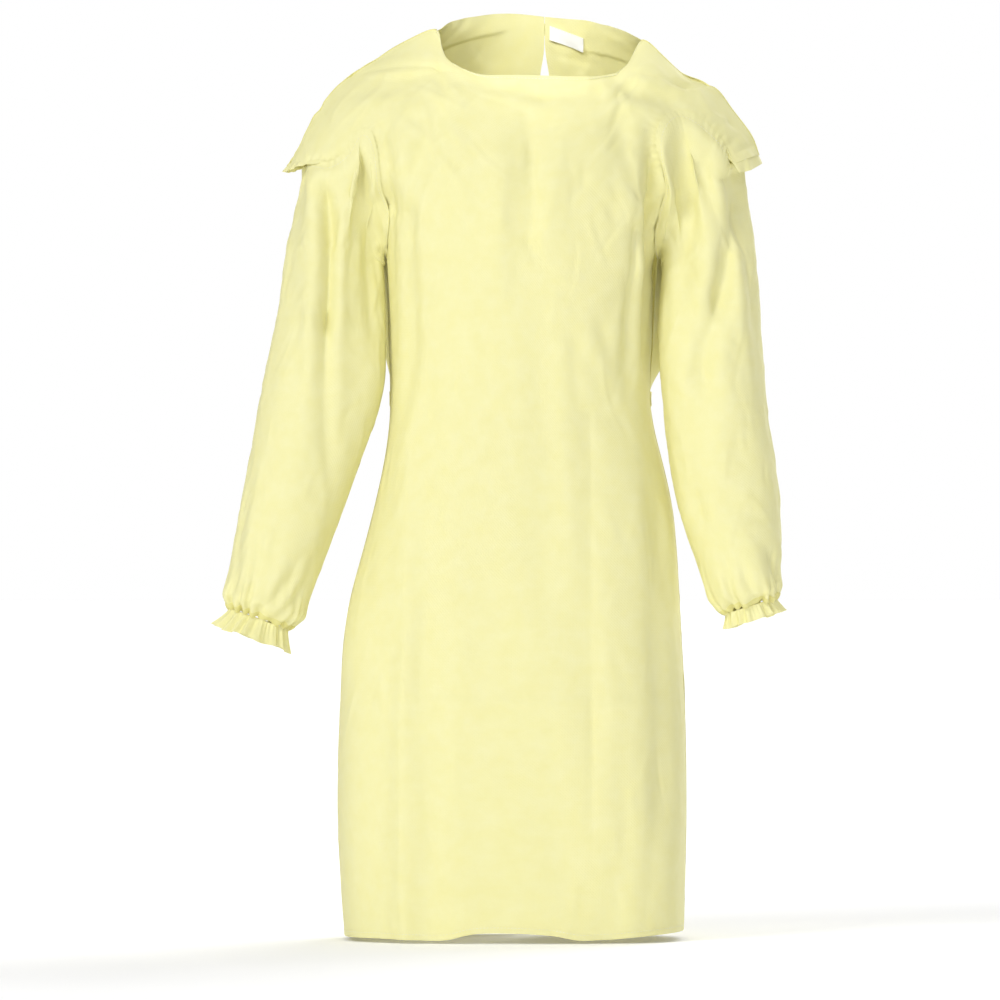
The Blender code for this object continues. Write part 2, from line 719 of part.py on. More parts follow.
def main():
    for old in list(bpy.data.objects):
        bpy.data.objects.remove(old, do_unlink=True)

    cloth = material("yellow nonwoven", CLOTH, 0.75)
    white = material("white tag", WHITE, 0.7)
    axis = np.array([0.0, 0.0, -500.0])

    panels = {}
    for key, grid, edges in (
        ("front", front_grid(), ("left", "right", "top")),
        ("back_l", back_grid("l"), ("left", "top")),
        ("back_r", back_grid("r"), ("right", "top")),
    ):
        grid = pulled_in(grid, edges)
        panels[key] = (grid, outward(grid, axis))
    share_seam_normals(panels)

    made = []
    for key, name in (("front", "front_panel"), ("back_l", "back_panel_l"), ("back_r", "back_panel_r")):
        grid, normals = panels[key]
        made.append(wall_mesh(name, grid, normals, WALL))
    for side in "lr":
        grid, normals = sleeve_grid(panels, side)
        made.append(wall_mesh("sleeve_" + side, grid, normals, WALL, around=True))
        grid, normals = cuff_grid(side)
        made.append(wall_mesh("cuff_" + side, grid, normals, CUFF_WALL, around=True))
    made += tie_set("waist", panels, WAIST_Z, None)
    made += tie_set("neck", panels, NECK_TIE_Z, NECK_TIE_RUN)
    for obj in made:
        obj.data.materials.append(cloth)
    tag = neck_label(panels)
    tag.data.materials.append(white)


def share_seam_normals(panels):
    """Gives the two pieces at a side or shoulder seam the same normals, so that their rims face each other."""
    front = panels["front"][1]
    for side, column in (("l", 0), ("r", -1)):
        back = panels["back_" + side][1]
        for normals in (front, back):
            for _ in range(SEAM_EVENED_TIMES):
                edge = normals[LOWER_ROWS:, column]
                edge[1:-1] = unit(edge[:-2] + 2 * edge[1:-1] + edge[2:])
        shoulder = slice(0, SHOULDER_COLUMNS + 1) if side == "l" else slice(-SHOULDER_COLUMNS - 1, None)
        for seam in ((slice(0, LOWER_ROWS + 1), column), (-1, shoulder)):
            both = unit(front[seam] + back[seam])
            front[seam] = both
            back[seam] = both


main()
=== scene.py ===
# %% [markdown]
# # An isolation gown
#
# A gown of this kind is cut from one thin spunbonded sheet: a front, two half backs that meet at a slit,
# two long sleeves with elastic at the wrist, and ties. It is light, crisp and a little see-through, so it
# holds the folds of its packet and hangs in large, soft shapes. The lesson builds every piece as a thin
# shell on the solid that the frame holds for it, presses the folds in one by one, and then gives it the
# finish of the sheet.

# %% Load the frame
import json
import math

import bmesh
import bpy
import numpy as np
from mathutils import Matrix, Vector
from mathutils.kdtree import KDTree

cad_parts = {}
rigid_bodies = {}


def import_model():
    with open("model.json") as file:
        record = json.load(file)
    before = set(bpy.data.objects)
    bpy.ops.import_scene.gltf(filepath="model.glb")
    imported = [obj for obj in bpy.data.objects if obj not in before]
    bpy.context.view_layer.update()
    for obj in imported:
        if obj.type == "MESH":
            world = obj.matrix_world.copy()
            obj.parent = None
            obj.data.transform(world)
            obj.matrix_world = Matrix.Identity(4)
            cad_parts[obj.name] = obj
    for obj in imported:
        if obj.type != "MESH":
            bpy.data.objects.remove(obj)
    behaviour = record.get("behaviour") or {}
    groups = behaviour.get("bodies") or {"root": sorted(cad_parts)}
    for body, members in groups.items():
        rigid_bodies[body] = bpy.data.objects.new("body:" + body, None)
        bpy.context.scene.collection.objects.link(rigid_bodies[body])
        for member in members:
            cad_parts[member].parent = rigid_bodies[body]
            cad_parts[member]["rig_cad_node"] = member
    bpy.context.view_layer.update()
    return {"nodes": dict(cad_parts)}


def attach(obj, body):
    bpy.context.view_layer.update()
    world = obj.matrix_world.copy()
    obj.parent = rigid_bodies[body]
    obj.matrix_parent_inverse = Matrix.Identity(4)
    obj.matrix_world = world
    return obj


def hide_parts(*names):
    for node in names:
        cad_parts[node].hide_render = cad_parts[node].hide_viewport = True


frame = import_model()

# %% [markdown]
# ## The cut
#
# The gown's form comes from a few tables in millimetres: level sections of the body, the armhole and
# shoulder seams, the neck edge and the sections of each sleeve. They are the same tables that shape the
# solids, so a shell that is made from them lies where its solid lies. The origin is the middle of the
# shoulder line, the front faces -Y, "l" is the -X side and "r" the +X side.

# %% Sizes of the body
WALL = 1.5  # the solids' wall
SEAM_GAP = 0.4  # between two solids that a seam joins
ARMPIT_Z = -290.0
CENTRE_BACK = 28.0  # x of the slit
OUT = {"l": -1, "r": 1}  # which way is outwards on each side
LOWER_ROWS, UPPER_ROWS = 14, 16
SHOULDER_COLUMNS = 9
NECK_COLUMNS = {"front": 10, "back": 5}
FRONT_COLUMNS = 2 * SHOULDER_COLUMNS + NECK_COLUMNS["front"]
BACK_COLUMNS = SHOULDER_COLUMNS + NECK_COLUMNS["back"]
CHEST_BULGE = 10.0  # how far the chest stands out
EDGE_PULL = 0.8  # how firmly the top edge leads the cloth
EVENED_BELOW, EVENED_TIMES, SEAM_EVENED_TIMES = 3, 6, 3

#   height, left side, right side, front, back, squareness
BODY_SECTIONS = (
    (-1118, -216, 197, -140, 136, 3.0),
    (-1074, -219, 198, -140, 136, 3.0),
    (-976, -224, 200, -139, 134, 2.9),
    (-830, -221, 198, -136, 130, 2.8),
    (-732, -214, 193, -132, 125, 2.7),
    (-634, -190, 187, -126, 118, 2.6),
    (-561, -172, 177, -118, 109, 2.5),
    (-500, -162, 161, -111, 99, 2.4),
    (-464, -160, 156, -108, 95, 2.4),
    (-415, -162, 159, -111, 97, 2.4),
    (-342, -165, 164, -117, 103, 2.5),
    (-290, -166, 167, -119, 106, 2.5),
)
#   outwards, forwards, backwards, upwards from the armpit
ARMHOLE = (
    (0, 0, 0, 0), (2, 27, 26, 28), (6, 47, 44, 54), (18, 58, 53, 75), (42, 61, 57, 89),
    (80, 50, 48, 98), (108, 27, 26, 108), (121, 0, 0, 112),
)
TIP_RISE = {"l": 1.0, "r": 1.116}

# %% Sizes of the shoulders, neck and back opening
#   x, y, z from the tip to the neck
SHOULDER = {
    "l": (
        (-287, 0, -178), (-274, 1, -159), (-265, 2, -140), (-253, 3, -116), (-237, 4, -95),
        (-218, 5, -73), (-183, 7, -50), (-161, 8, -36), (-135, 9, -22), (-104, 10, -12),
    ),
    "r": (
        (289, 0, -165), (285, 1, -151), (276, 2, -134), (260, 3, -114), (243, 4, -90), (229, 5, -78),
        (210, 6, -71), (192, 8, -62), (170, 10, -40), (146, 14, -24),
    ),
}
NECK_FRONT = (
    (-104, 10, -12), (-99, -15, -33), (-88, -38, -53), (-64, -51, -65), (-27, -58, -68), (28, -62, -70),
    (83, -59, -71), (108, -47, -69), (129, -20, -54), (146, 14, -24),
)
NECK_BACK = {
    "l": ((-104, 10, -12), (-88, 31, -1), (-62, 46, 6), (-18, 57, 11), (28, 61, 7)),
    "r": ((28, 61, 7), (50, 59, 5), (89, 49, 0), (109, 41, -6), (126, 31, -12), (146, 14, -24)),
}
#   rows and columns of a shell for each of its solid
FINE = {"front": (8, 6), "back_l": (8, 7), "back_r": (8, 7), "sleeve_l": (9, 7), "sleeve_r": (9, 7)}
LEAN_SHOULDER, LEAN_NECK_FRONT, LEAN_NECK_BACK = 68.0, 28.0, 12.0  # degrees from upright at the edge
#   height, half gap
BACK_OPENING = (
    (-1118, 22), (-830, 18), (-560, 9), (-464, 5), (-380, 12), (-220, 16), (-110, 9), (-67, 6.0),
    (-34, 0.4), (7, 0.3),
)
#   x, lift of the hem
HEM_LIFT = {
    "front": ((-216, 2), (-170, 2), (-92, 0), (-70, 8), (-30, 10), (30, 8), (62, 1), (100, 1), (197, 9)),
    "back": ((-216, 2), (-120, 5), (0, 2), (90, 6), (197, 9)),
}
HEM_LIFT_FADE = (1.0, 0.6, 0.25)
#   face, x and z at the top, x and z at the bottom, half width, depth (minus stands proud)
BODY_FOLDS = (
    ("front", 2, -125, 10, -300, 17, 8.0),
    ("front", 10, -300, 30, -640, 20, 3.0),
    ("front", -143, -540, -143, -1118, 16, -5.0),
    ("front", -116, -520, -112, -1118, 26, 3.5),
    ("front", 80, -480, 82, -1040, 20, 2.5),
    ("front", 142, -262, 130, -430, 18, 11.0),
    ("front", -140, -240, -136, -420, 18, 8.0),
    ("front", 160, -540, 172, -960, 22, 6.0),
    ("front", 118, -130, 156, -250, 22, 7.0),
    ("front", -104, -120, -152, -235, 22, 6.0),
    ("front", -104, -70, -190, -84, 14, 5.0),
    ("front", 122, -88, 200, -96, 14, 6.0),
    ("back", -30, -28, -92, -44, 15, 5.0),
    ("back", 88, -34, 128, -54, 15, 5.0),
    ("back", -70, -110, -116, -400, 24, 9.0),
    ("back", 112, -120, 146, -400, 24, 9.0),
    ("back", -110, -480, -150, -1100, 28, 9.0),
    ("back", 112, -480, 150, -1100, 28, 9.0),
)

# %% Sizes of the sleeves, cuffs and ties
#   outer x and z, inner x and z, forward shift, half depth
SLEEVE_SECTIONS = {
    "l": (
        (-290, -293, -168.5, -303, -6, 58),
        (-296, -342, -166.5, -346, -16, 58),
        (-305, -390, -165.5, -397, -22, 58),
        (-315, -439, -168.5, -451, -26, 57),
        (-324, -488, -184, -505, -29, 56),
        (-332, -537, -204, -559, -32, 54),
        (-342, -586, -223, -612, -35, 51),
        (-350, -634, -243, -665, -38, 48),
        (-360, -683, -259, -710, -41, 45),
        (-364, -702, -265, -731, -42, 41),
        (-354, -717, -285, -742, -43, 27),
    ),
    "r": (
        (286, -293, 169.5, -303, -6, 58),
        (290, -342, 167, -346, -16, 58),
        (292, -390, 166, -397, -22, 58),
        (296, -439, 169.5, -449, -26, 57),
        (300, -488, 174, -500, -29, 56),
        (308, -537, 181, -551, -32, 54),
        (313, -586, 192, -602, -35, 51),
        (315, -634, 209, -652, -38, 48),
        (315, -671, 221, -691, -41, 45),
        (315, -691, 231, -711, -42, 41),
        (308, -704, 248, -723, -43, 27),
    ),
}
SLEEVE_CAP_ROWS = 5
SLEEVE_TUCK = 19.0  # how far the sleeve's head lies under the flange
#   angle round from the inner side, half width (degrees), depth, first and last row
SLEEVE_FOLDS = {
    "l": (
        (58, 22, 9, 2, 12), (100, 16, 5, 2, 8), (150, 18, 4, 3, 12), (235, 22, 8, 2, 10), (300, 18, 6, 2, 9),
    ),
    "r": (
        (66, 20, 9, 2, 9), (108, 18, 7, 2, 10), (150, 16, 4, 2, 8), (230, 22, 8, 2, 11), (290, 18, 6, 2, 9),
    ),
}
#   how far down the frill reaches, how far it flares, how far it tips back
CUFF_SHAPE = {"l": (25, 11, 0), "r": (18, 5, 8)}
TIE_WIDTH = {"waist": 18.0, "neck": 11.0}
TIE_OFF = 0.5  # how far a tie lies off the cloth
WAIST_Z, NECK_TIE_Z = -462.0, -8.0
TIE_END = {"waist": (205, 235), "neck": (150, 128)}  # how far the left and right ends hang
KNOT = {"waist": (13, 7, 10), "neck": (8, 5.5, 8)}  # half sizes
NECK_TIE_RUN = 34.0  # from the slit to where a neck tie is sewn on
TIE_ROOT = 3.0
LABEL = {"in": 6.0, "top": -3.0, "width": 42.0, "height": 17.0, "fall": 0.27, "off": 0.6}

# %% [markdown]
# ## Curves and grids
#
# Each piece is a grid of points: rows run up the body or down a sleeve, columns run from left to right.
# Two kinds of curve are needed. `spline` reads a table at any level. `through` runs an even curve through
# a whole grid, which turns the coarse grid of a solid into a fine one for a shell without moving it.

# %% Curves


def weights(s):
    """What a curve takes, at a share of it, of its start, its way there, its end and its way there."""
    return 2 * s**3 - 3 * s**2 + 1, s**3 - 2 * s**2 + s, 3 * s**2 - 2 * s**3, s**3 - s**2


def spline(knots, values, at):
    knots, values, at = (np.asarray(a, float) for a in (knots, values, at))
    slopes = np.gradient(values, knots, axis=0)
    i = np.clip(np.searchsorted(knots, at, side="right") - 1, 0, len(knots) - 2)
    h = knots[i + 1] - knots[i]
    s = (at - knots[i]) / h
    if values.ndim > 1:
        h, s = h[..., None], s[..., None]
    a, b, c, d = weights(s)
    return a * values[i] + b * h * slopes[i] + c * values[i + 1] + d * h * slopes[i + 1]


def steps_of(points, axis=0):
    return np.linalg.norm(np.diff(points, axis=axis), axis=-1)


def added_up(steps):
    """How far along a line each of its points lies, from the steps between them."""
    return np.concatenate([[0], np.cumsum(steps)])


def run_down(grid):
    """How far each point of a grid lies from its first row, down its own column."""
    return np.cumsum(np.linalg.norm(np.diff(grid, axis=0, prepend=grid[:1]), axis=2), axis=0)


def read_at(at, knots, rows):
    """Points between those of `rows`, which lie at `knots`."""
    return np.stack([np.interp(at, knots, rows[:, k]) for k in range(3)], -1)


def along(points, at):
    """Points at given shares of a curve's length."""
    points = np.asarray(points, float)
    run = added_up(steps_of(points))
    return spline(run / run[-1], points, at)


def unit(v):
    return v / np.maximum(np.linalg.norm(v, axis=-1, keepdims=True), 1e-9)


def hermite(start, start_way, end, end_way, v):
    a, b, c, d = weights(v[:, None, None])
    return a * start + b * start_way + c * end + d * end_way


def through(points, times, around=False):
    """A curve with even bends through the points of axis 0, with `times` steps for each of theirs."""
    count = len(points)
    matrix = np.diag(np.full(count, 4.0)) + np.eye(count, k=1) + np.eye(count, k=-1)
    if around:
        matrix[0, -1] = matrix[-1, 0] = 1
        right = 3 * (np.roll(points, -1, 0) - np.roll(points, 1, 0))
    else:
        matrix[0, 0] = matrix[-1, -1] = 2
        padded = np.concatenate([points[:1], points, points[-1:]])
        right = 3 * (padded[2:] - padded[:-2])
    slopes = np.linalg.solve(matrix, right.reshape(count, -1)).reshape(points.shape)
    steps = count if around else count - 1
    at = np.arange(steps * times + (0 if around else 1)) / times
    i = np.minimum(at.astype(int), steps - 1)
    j = (i + 1) % count
    s = (at - i).reshape((-1,) + (1,) * (points.ndim - 1))
    a, b, c, d = weights(s)
    return a * points[i] + b * slopes[i] + c * points[j] + d * slopes[j]


def finer(grid, down, across, around=False):
    rows = through(grid, down)
    return through(rows.swapaxes(0, 1), across, around).swapaxes(0, 1)


def grid_normals(grid, around=False):
    if around:
        across = np.roll(grid, -1, 1) - np.roll(grid, 1, 1)
    else:
        across = np.gradient(grid, axis=1)
    return unit(np.cross(across, np.gradient(grid, axis=0)))


def soft(distance, half_width):
    return np.exp(-0.5 * (distance / (0.5 * half_width)) ** 2)


def eased(share):
    return share**2 * (3 - 2 * share)


# %% [markdown]
# ## The body's panels
#
# Below the armpit each level is a rounded rectangle. Above it the cloth is fitted between the level at
# the armpit, the armhole seams and the top edge, which is the two shoulder seams with the neck between
# them. Half the back is made at a time, because the gown opens down the middle of the back.

# %% Panels as coarse grids


def section(z, face, share):
    table = np.array(BODY_SECTIONS)
    left, right, front, back, square = (spline(table[:, 0], table[:, k], z) for k in range(1, 6))
    turn = math.pi * np.asarray(share, float)
    cos, sin = np.cos(turn), np.sin(turn)
    depth = front if face == "front" else back
    x = (left + right) / 2 - (right - left) / 2 * np.sign(cos) * np.abs(cos) ** (2 / square)
    y = depth * np.abs(sin) ** (2 / square)
    return np.stack([x, y, np.full_like(x, z)], -1)


def armhole(side, face):
    table = np.array(ARMHOLE, float)
    pit = section(ARMPIT_Z, "front", [0.0 if side == "l" else 1.0])[0]
    reach = abs(SHOULDER[side][0][0] - pit[0]) / table[-1, 0]
    x = pit[0] + OUT[side] * table[:, 0] * reach
    y = -table[:, 1] if face == "front" else table[:, 2]
    z = ARMPIT_Z + table[:, 3] * TIP_RISE[side]
    points = np.stack([x, y, z], -1)
    points[-1] = SHOULDER[side][0]
    return along(points, np.linspace(0, 1, UPPER_ROWS + 1))


def top_edge(parts):
    points, leans = [], []
    for curve, lean in parts:
        skip = 1 if points else 0
        points += list(along(curve, np.linspace(0, 1, len(lean)))[skip:])
        leans += list(lean)[skip:]
    return np.array(points), np.radians(leans)


def neck_lean(columns, upright, side_at):
    """How far the neck edge leans from upright: most where it meets a shoulder, at one end or at both."""
    share = np.linspace(0, 1, columns + 1)
    off = {"both": np.abs(2 * share - 1), "start": 1 - share, "end": share}[side_at]
    return upright + (LEAN_SHOULDER - upright) * off**1.3


def upper_grid(bottom, below, edge, leans, lean_way, hold, left=None, right=None):
    v = np.linspace(0, 1, UPPER_ROWS + 1)
    reach = np.linalg.norm(edge - bottom, axis=1)[:, None]
    up = unit(bottom - below) * reach
    over = np.stack([np.zeros_like(leans), lean_way * np.sin(leans), np.cos(leans)], -1)
    over = over * reach * EDGE_PULL
    grid = hermite(bottom, up, edge, over, v)
    share = np.linspace(0, 1, len(bottom))[None, :, None]
    if left is not None:
        grid = grid + (1 - share) ** hold * (left - grid[:, 0])[:, None]
    if right is not None:
        grid = grid + share**hold * (right - grid[:, -1])[:, None]
    return grid


def evened(grid):
    rows = slice(LOWER_ROWS - EVENED_BELOW, None)
    for _ in range(EVENED_TIMES):
        mean = (grid[:-2, 1:-1] + grid[2:, 1:-1] + grid[1:-1, :-2] + grid[1:-1, 2:]) / 4
        grid[1:-1, 1:-1][rows] = (grid[1:-1, 1:-1][rows] + mean[rows]) / 2
    return grid


def lower_heights():
    return np.linspace(BODY_SECTIONS[0][0], ARMPIT_Z, LOWER_ROWS + 1)[:-1]


def opening_at(z):
    table = np.array(BACK_OPENING, float)
    return np.interp(z, table[:, 0], table[:, 1])


def facing_face(normals, face):
    """1 where the cloth faces the front or the back, fading to 0 where it faces the side."""
    return np.clip((-1 if face == "front" else 1) * normals[..., 1] * 2.5, 0, 1)


def folded(grid, face):
    normals = grid_normals(grid)
    facing = facing_face(normals, face)
    depth = np.zeros(grid.shape[:2])
    for side, x0, z0, x1, z1, half_width, deep in BODY_FOLDS:
        if side == face:
            run = np.array([x1 - x0, z1 - z0], float)
            flat = grid[..., [0, 2]] - [x0, z0]
            share = (flat @ run) / (run @ run)
            off = np.linalg.norm(flat - np.clip(share, 0, 1)[..., None] * run, axis=-1)
            depth += deep * soft(off, half_width) * facing
    return grid - normals * depth[..., None]


def lifted(rows, face):
    lift = np.array(HEM_LIFT[face], float)
    for row, fade in zip(rows, HEM_LIFT_FADE):
        row[:, 2] += np.interp(row[:, 0], lift[:, 0], lift[:, 1]) * fade
    return rows


def front_grid():
    share = np.linspace(0, 1, FRONT_COLUMNS + 1)
    rows = lifted([section(z, "front", share) for z in lower_heights()], "front")
    bottom = section(ARMPIT_Z, "front", share)
    shoulder_lean = [LEAN_SHOULDER] * (SHOULDER_COLUMNS + 1)
    parts = (
        (SHOULDER["l"], shoulder_lean),
        (NECK_FRONT, neck_lean(NECK_COLUMNS["front"], LEAN_NECK_FRONT, "both")),
        (SHOULDER["r"][::-1], shoulder_lean),
    )
    edge, leans = top_edge(parts)
    upper = upper_grid(bottom, rows[-1], edge, leans, 1, 4, armhole("l", "front"), armhole("r", "front"))
    swell = np.sin(np.pi * np.linspace(0, 1, UPPER_ROWS + 1))[:, None] * np.sin(np.pi * share)[None] ** 2
    upper[..., 1] -= CHEST_BULGE * swell
    return folded(evened(np.concatenate([np.array(rows), upper])), "front")


def back_grid(side):
    table = np.linspace(0, 1, BACK_COLUMNS + 1)
    sign = OUT[side]

    def half(z):
        shares = np.linspace(0, 1, 400)
        wide = section(z, "back", shares)
        centre = np.interp(CENTRE_BACK + sign * opening_at(z), wide[:, 0], shares)
        return section(z, "back", table * centre if side == "l" else centre + table * (1 - centre))

    rows = lifted([half(z) for z in lower_heights()], "back")
    bottom = half(ARMPIT_Z)
    shoulder = (SHOULDER[side][::-sign], [LEAN_SHOULDER] * (SHOULDER_COLUMNS + 1))
    side_at = "start" if side == "l" else "end"
    neck = (NECK_BACK[side], neck_lean(NECK_COLUMNS["back"], LEAN_NECK_BACK, side_at))
    edge, leans = top_edge((shoulder, neck) if side == "l" else (neck, shoulder))
    seam = armhole(side, "back")
    sides = {"left": seam} if side == "l" else {"right": seam}
    upper = upper_grid(bottom, rows[-1], edge, leans, -1, 2, **sides)
    middle = upper[:, -1] if side == "l" else upper[:, 0]
    shift = (CENTRE_BACK + sign * opening_at(middle[:, 2]) - middle[:, 0])[:, None]
    toward = table if side == "l" else 1 - table
    upper[..., 0] += shift * toward[None] ** 3
    return folded(evened(np.concatenate([np.array(rows), upper])), "back")


def pulled_in(grid, edges):
    grid = grid.copy()
    half = SEAM_GAP / 2
    if "left" in edges:
        grid[:, 0] += unit(grid[:, 1] - grid[:, 0]) * half
    if "right" in edges:
        grid[:, -1] += unit(grid[:, -2] - grid[:, -1]) * half
    if "top" in edges:
        grid[-1] += unit(grid[-2] - grid[-1]) * half
    return grid


def outward(grid):
    normals = grid_normals(grid)
    return normals if np.einsum("ijk,ijk->", normals, grid - [0, 0, -500]) > 0 else -normals


def share_seam_normals(panels):
    front = panels["front"][1]
    for side, column in (("l", 0), ("r", -1)):
        back = panels["back_" + side][1]
        for normals in (front, back):
            for _ in range(SEAM_EVENED_TIMES):
                edge = normals[LOWER_ROWS:, column]
                edge[1:-1] = unit(edge[:-2] + 2 * edge[1:-1] + edge[2:])
        count = SHOULDER_COLUMNS + 1
        shoulder = slice(0, count) if side == "l" else slice(-count, None)
        for seam in ((slice(0, LOWER_ROWS + 1), column), (-1, shoulder)):
            both = unit(front[seam] + back[seam])
            front[seam] = both
            back[seam] = both


coarse = {}
for key, grid, edges in (
    ("front", front_grid(), ("left", "right", "top")),
    ("back_l", back_grid("l"), ("left", "top")),
    ("back_r", back_grid("r"), ("right", "top")),
):
    grid = pulled_in(grid, edges)
    coarse[key] = (grid, outward(grid))
share_seam_normals(coarse)
for key, (grid, _) in coarse.items():
    print(key, grid.shape[:2], "from", grid.min((0, 1)).round(), "to", grid.max((0, 1)).round())

# %% [markdown]
# ## Sleeves
#
# A sleeve is one tube. Seen from the front its seam climbs out of the armpit in a deep trench beside the
# chest, turns over high on the shoulder and falls to the tip, where a narrow gathered flange stands over
# it. So the tube starts on that line, lies on the body panel for its first few millimetres, and then
# falls through its sections to the elastic. The panel's cloth ends just under the sleeve.

# %% The armhole line
#   x, z from the armpit to the shoulder's tip, and y where the line leaves the panel's face
ARMHOLE_LINE = {
    ("l", "front"): (
        (-166, -290, 0), (-168, -262, -27), (-172, -236, -47), (-178, -207), (-181, -176), (-184, -146),
        (-192, -136), (-202, -146), (-211, -160), (-221, -170), (-232, -176), (-242, -177),
        (-252, -175), (-261, -173), (-270, -173), (-279, -176), (-287, -178),
    ),
    ("l", "back"): (
        (-166, -290), (-174, -262), (-180, -236), (-186, -212), (-193, -192), (-201, -178),
        (-210, -170), (-219, -166), (-228, -165), (-237, -166), (-246, -168), (-254, -171),
        (-262, -174), (-269, -176), (-276, -178), (-282, -178), (-287, -178),
    ),
    ("r", "front"): (
        (167, -290, 0), (169, -262, -27), (173, -236, -47), (171, -207), (165, -178), (163, -146),
        (172, -123), (187, -114), (201, -115), (214, -122), (226, -132), (236, -142), (246, -154),
        (254, -168), (262, -180), (275, -174), (289, -165),
    ),
    ("r", "back"): (
        (167, -290), (174, -258), (180, -230), (186, -205), (193, -184), (201, -169), (210, -160),
        (219, -155), (228, -153), (237, -153), (246, -154), (255, -156), (263, -158), (270, -160),
        (277, -162), (283, -164), (289, -165),
    ),
}
HALF_RING = 16  # columns of a sleeve on its front, and on its back
ON_PANEL = 1.2  # how far the sleeve's edge stands over the panel
EDGE_OVERLAP = 2.5  # how far the sleeve's edge reaches past the line, onto the panel
TRENCH_OVERLAP = 7.0  # and as much more in the trench above the armpit, in these columns
TRENCH = {"l": (0, 1, 4, 6), "r": (0, 1, 2, 3)}
SLEEVE_PULL = 0.9  # how firmly the sleeve's head is led at both of its ends
FIT_POINTS = 14


def on_panel(key, places):
    """Points of a panel's smooth face at the given x and z, with their normals."""
    grid, normals = smooth_panels[key]
    sign = -1 if key == "front" else 1
    rows = slice(LOWER_ROWS * FINE[key][0] - 8, None)
    points, ways = grid[rows].reshape(-1, 3), normals[rows].reshape(-1, 3)
    points, ways = points[ways[:, 1] * sign > 0.05], ways[ways[:, 1] * sign > 0.05]
    found, facing = [], []
    for x, z, *depth in places:
        off = points[:, [0, 2]] - [x, z]
        gap = np.hypot(*off.T)
        near = np.argsort(gap)[:FIT_POINTS]
        weight = np.exp(-((gap[near] / (gap[near].max() + 1e-6)) ** 2) * 2)[:, None]
        matrix = np.concatenate([np.ones((FIT_POINTS, 1)), off[near]], 1)
        plane = np.linalg.lstsq(matrix * weight, points[near, 1] * weight[:, 0], rcond=None)[0]
        reach = min(1.0, 3.0 / (gap[near[0]] + 1e-6))
        y = depth[0] if depth else points[near[0], 1] * (1 - reach) + plane[0] * reach
        found.append((x, y, z))
        facing.append(unit((ways[near] * weight).sum(0)))
    return np.array(found), np.array(facing)


def armhole_ring(side):
    """The sleeve's first ring: up the front from the armpit to the tip, and down the back."""
    front, front_up = on_panel("front", ARMHOLE_LINE[side, "front"])
    back, back_up = on_panel("back_" + side, ARMHOLE_LINE[side, "back"])
    tip = np.array(SHOULDER[side][0], float)
    pit = section(ARMPIT_Z, "front", [0.0 if side == "l" else 1.0])[0]
    out = np.array([OUT[side], 0.0, 0])
    for half, up in ((front, front_up), (back, back_up)):
        half[0], half[-1], up[0], up[-1] = pit, tip, out, unit(out + [0, 0, 0.6])
    return np.concatenate([front, back[-2:0:-1]]), np.concatenate([front_up, back_up[-2:0:-1]])


def sleeve_ring(row, turn):
    outer_x, outer_z, inner_x, inner_z, forward, depth = row
    outer, inner = np.array([outer_x, forward, outer_z]), np.array([inner_x, forward, inner_z])
    across = (inner - outer) / 2
    return (outer + inner) / 2 + np.cos(turn)[:, None] * across + np.sin(turn)[:, None] * [0, -depth, 0]


def tube_normals(rows):
    normals = grid_normals(rows, around=True)
    middle = rows.mean(1, keepdims=True)
    return normals if np.einsum("ijk,ijk->", normals[-30:], rows[-30:] - middle[-30:]) > 0 else -normals


# %% Sleeves as coarse grids


def near_tip(turn):
    """1 at the shoulder's tip, falling to 0 a little round the ring from it."""
    return np.clip(((1 - np.cos(turn)) / 2 - 0.8) / 0.2, 0, 1) ** 1.5


def away_from_body(ring, normals):
    tangent = unit(np.roll(ring, -1, 0) - np.roll(ring, 1, 0))
    away = unit(np.cross(tangent, normals))
    outwards = np.array([np.sign(ring[:, 0].mean()), 0, -0.6])
    return away * np.sign(np.einsum("ij,j->", away, outwards))


def sleeve_grid(side):
    ring, normals = armhole_ring(side)
    count = len(ring)
    turn = np.linspace(0, 2 * np.pi, count, endpoint=False)
    away = away_from_body(ring, normals)
    at_tip = near_tip(turn)
    under = unit(ring.mean(0) - ring)
    overlap = EDGE_OVERLAP + TRENCH_OVERLAP * np.interp(np.arange(count), TRENCH[side], (0, 1, 1, 0))
    edge = ring + (normals * ON_PANEL - away * overlap[:, None]) * (1 - at_tip)[:, None]
    edge = edge + under * (SLEEVE_TUCK * at_tip)[:, None]
    sections = [sleeve_ring(row, turn) for row in SLEEVE_SECTIONS[side]]
    fall = sections[1] - sections[0]
    reach = np.linalg.norm(sections[0] - edge, axis=1)[:, None]
    falling = np.array([0, 0, -1.0]) * (0.5 + 0.5 * at_tip)[:, None]
    start_way = unit(away * (1 - at_tip)[:, None] + falling)
    v = np.linspace(0, 1, SLEEVE_CAP_ROWS + 1)
    cap = hermite(edge, start_way * SLEEVE_PULL * reach, sections[0], unit(fall) * SLEEVE_PULL * reach, v)
    rows = np.concatenate([cap, np.array(sections[1:])])
    depth = np.zeros(rows.shape[:2])
    for angle, half_width, deep, first, last in SLEEVE_FOLDS[side]:
        gap = (np.degrees(turn) - angle + 180) % 360 - 180
        level = np.arange(len(rows)) + 1
        fade = np.clip((level - first + 1) / 2, 0, 1) * np.clip((last - level) / 4, 0, 1)
        depth += deep * fade[:, None] * soft(gap, half_width * 1.6)[None]
    return rows - tube_normals(rows) * depth[..., None]


smooth_panels = {}
for key in ("front", "back_l", "back_r"):
    grid, normals = coarse[key]
    smooth_panels[key] = (finer(grid, *FINE[key]), unit(finer(normals, *FINE[key])))
for side in "lr":
    coarse["sleeve_" + side] = (sleeve_grid(side), None)
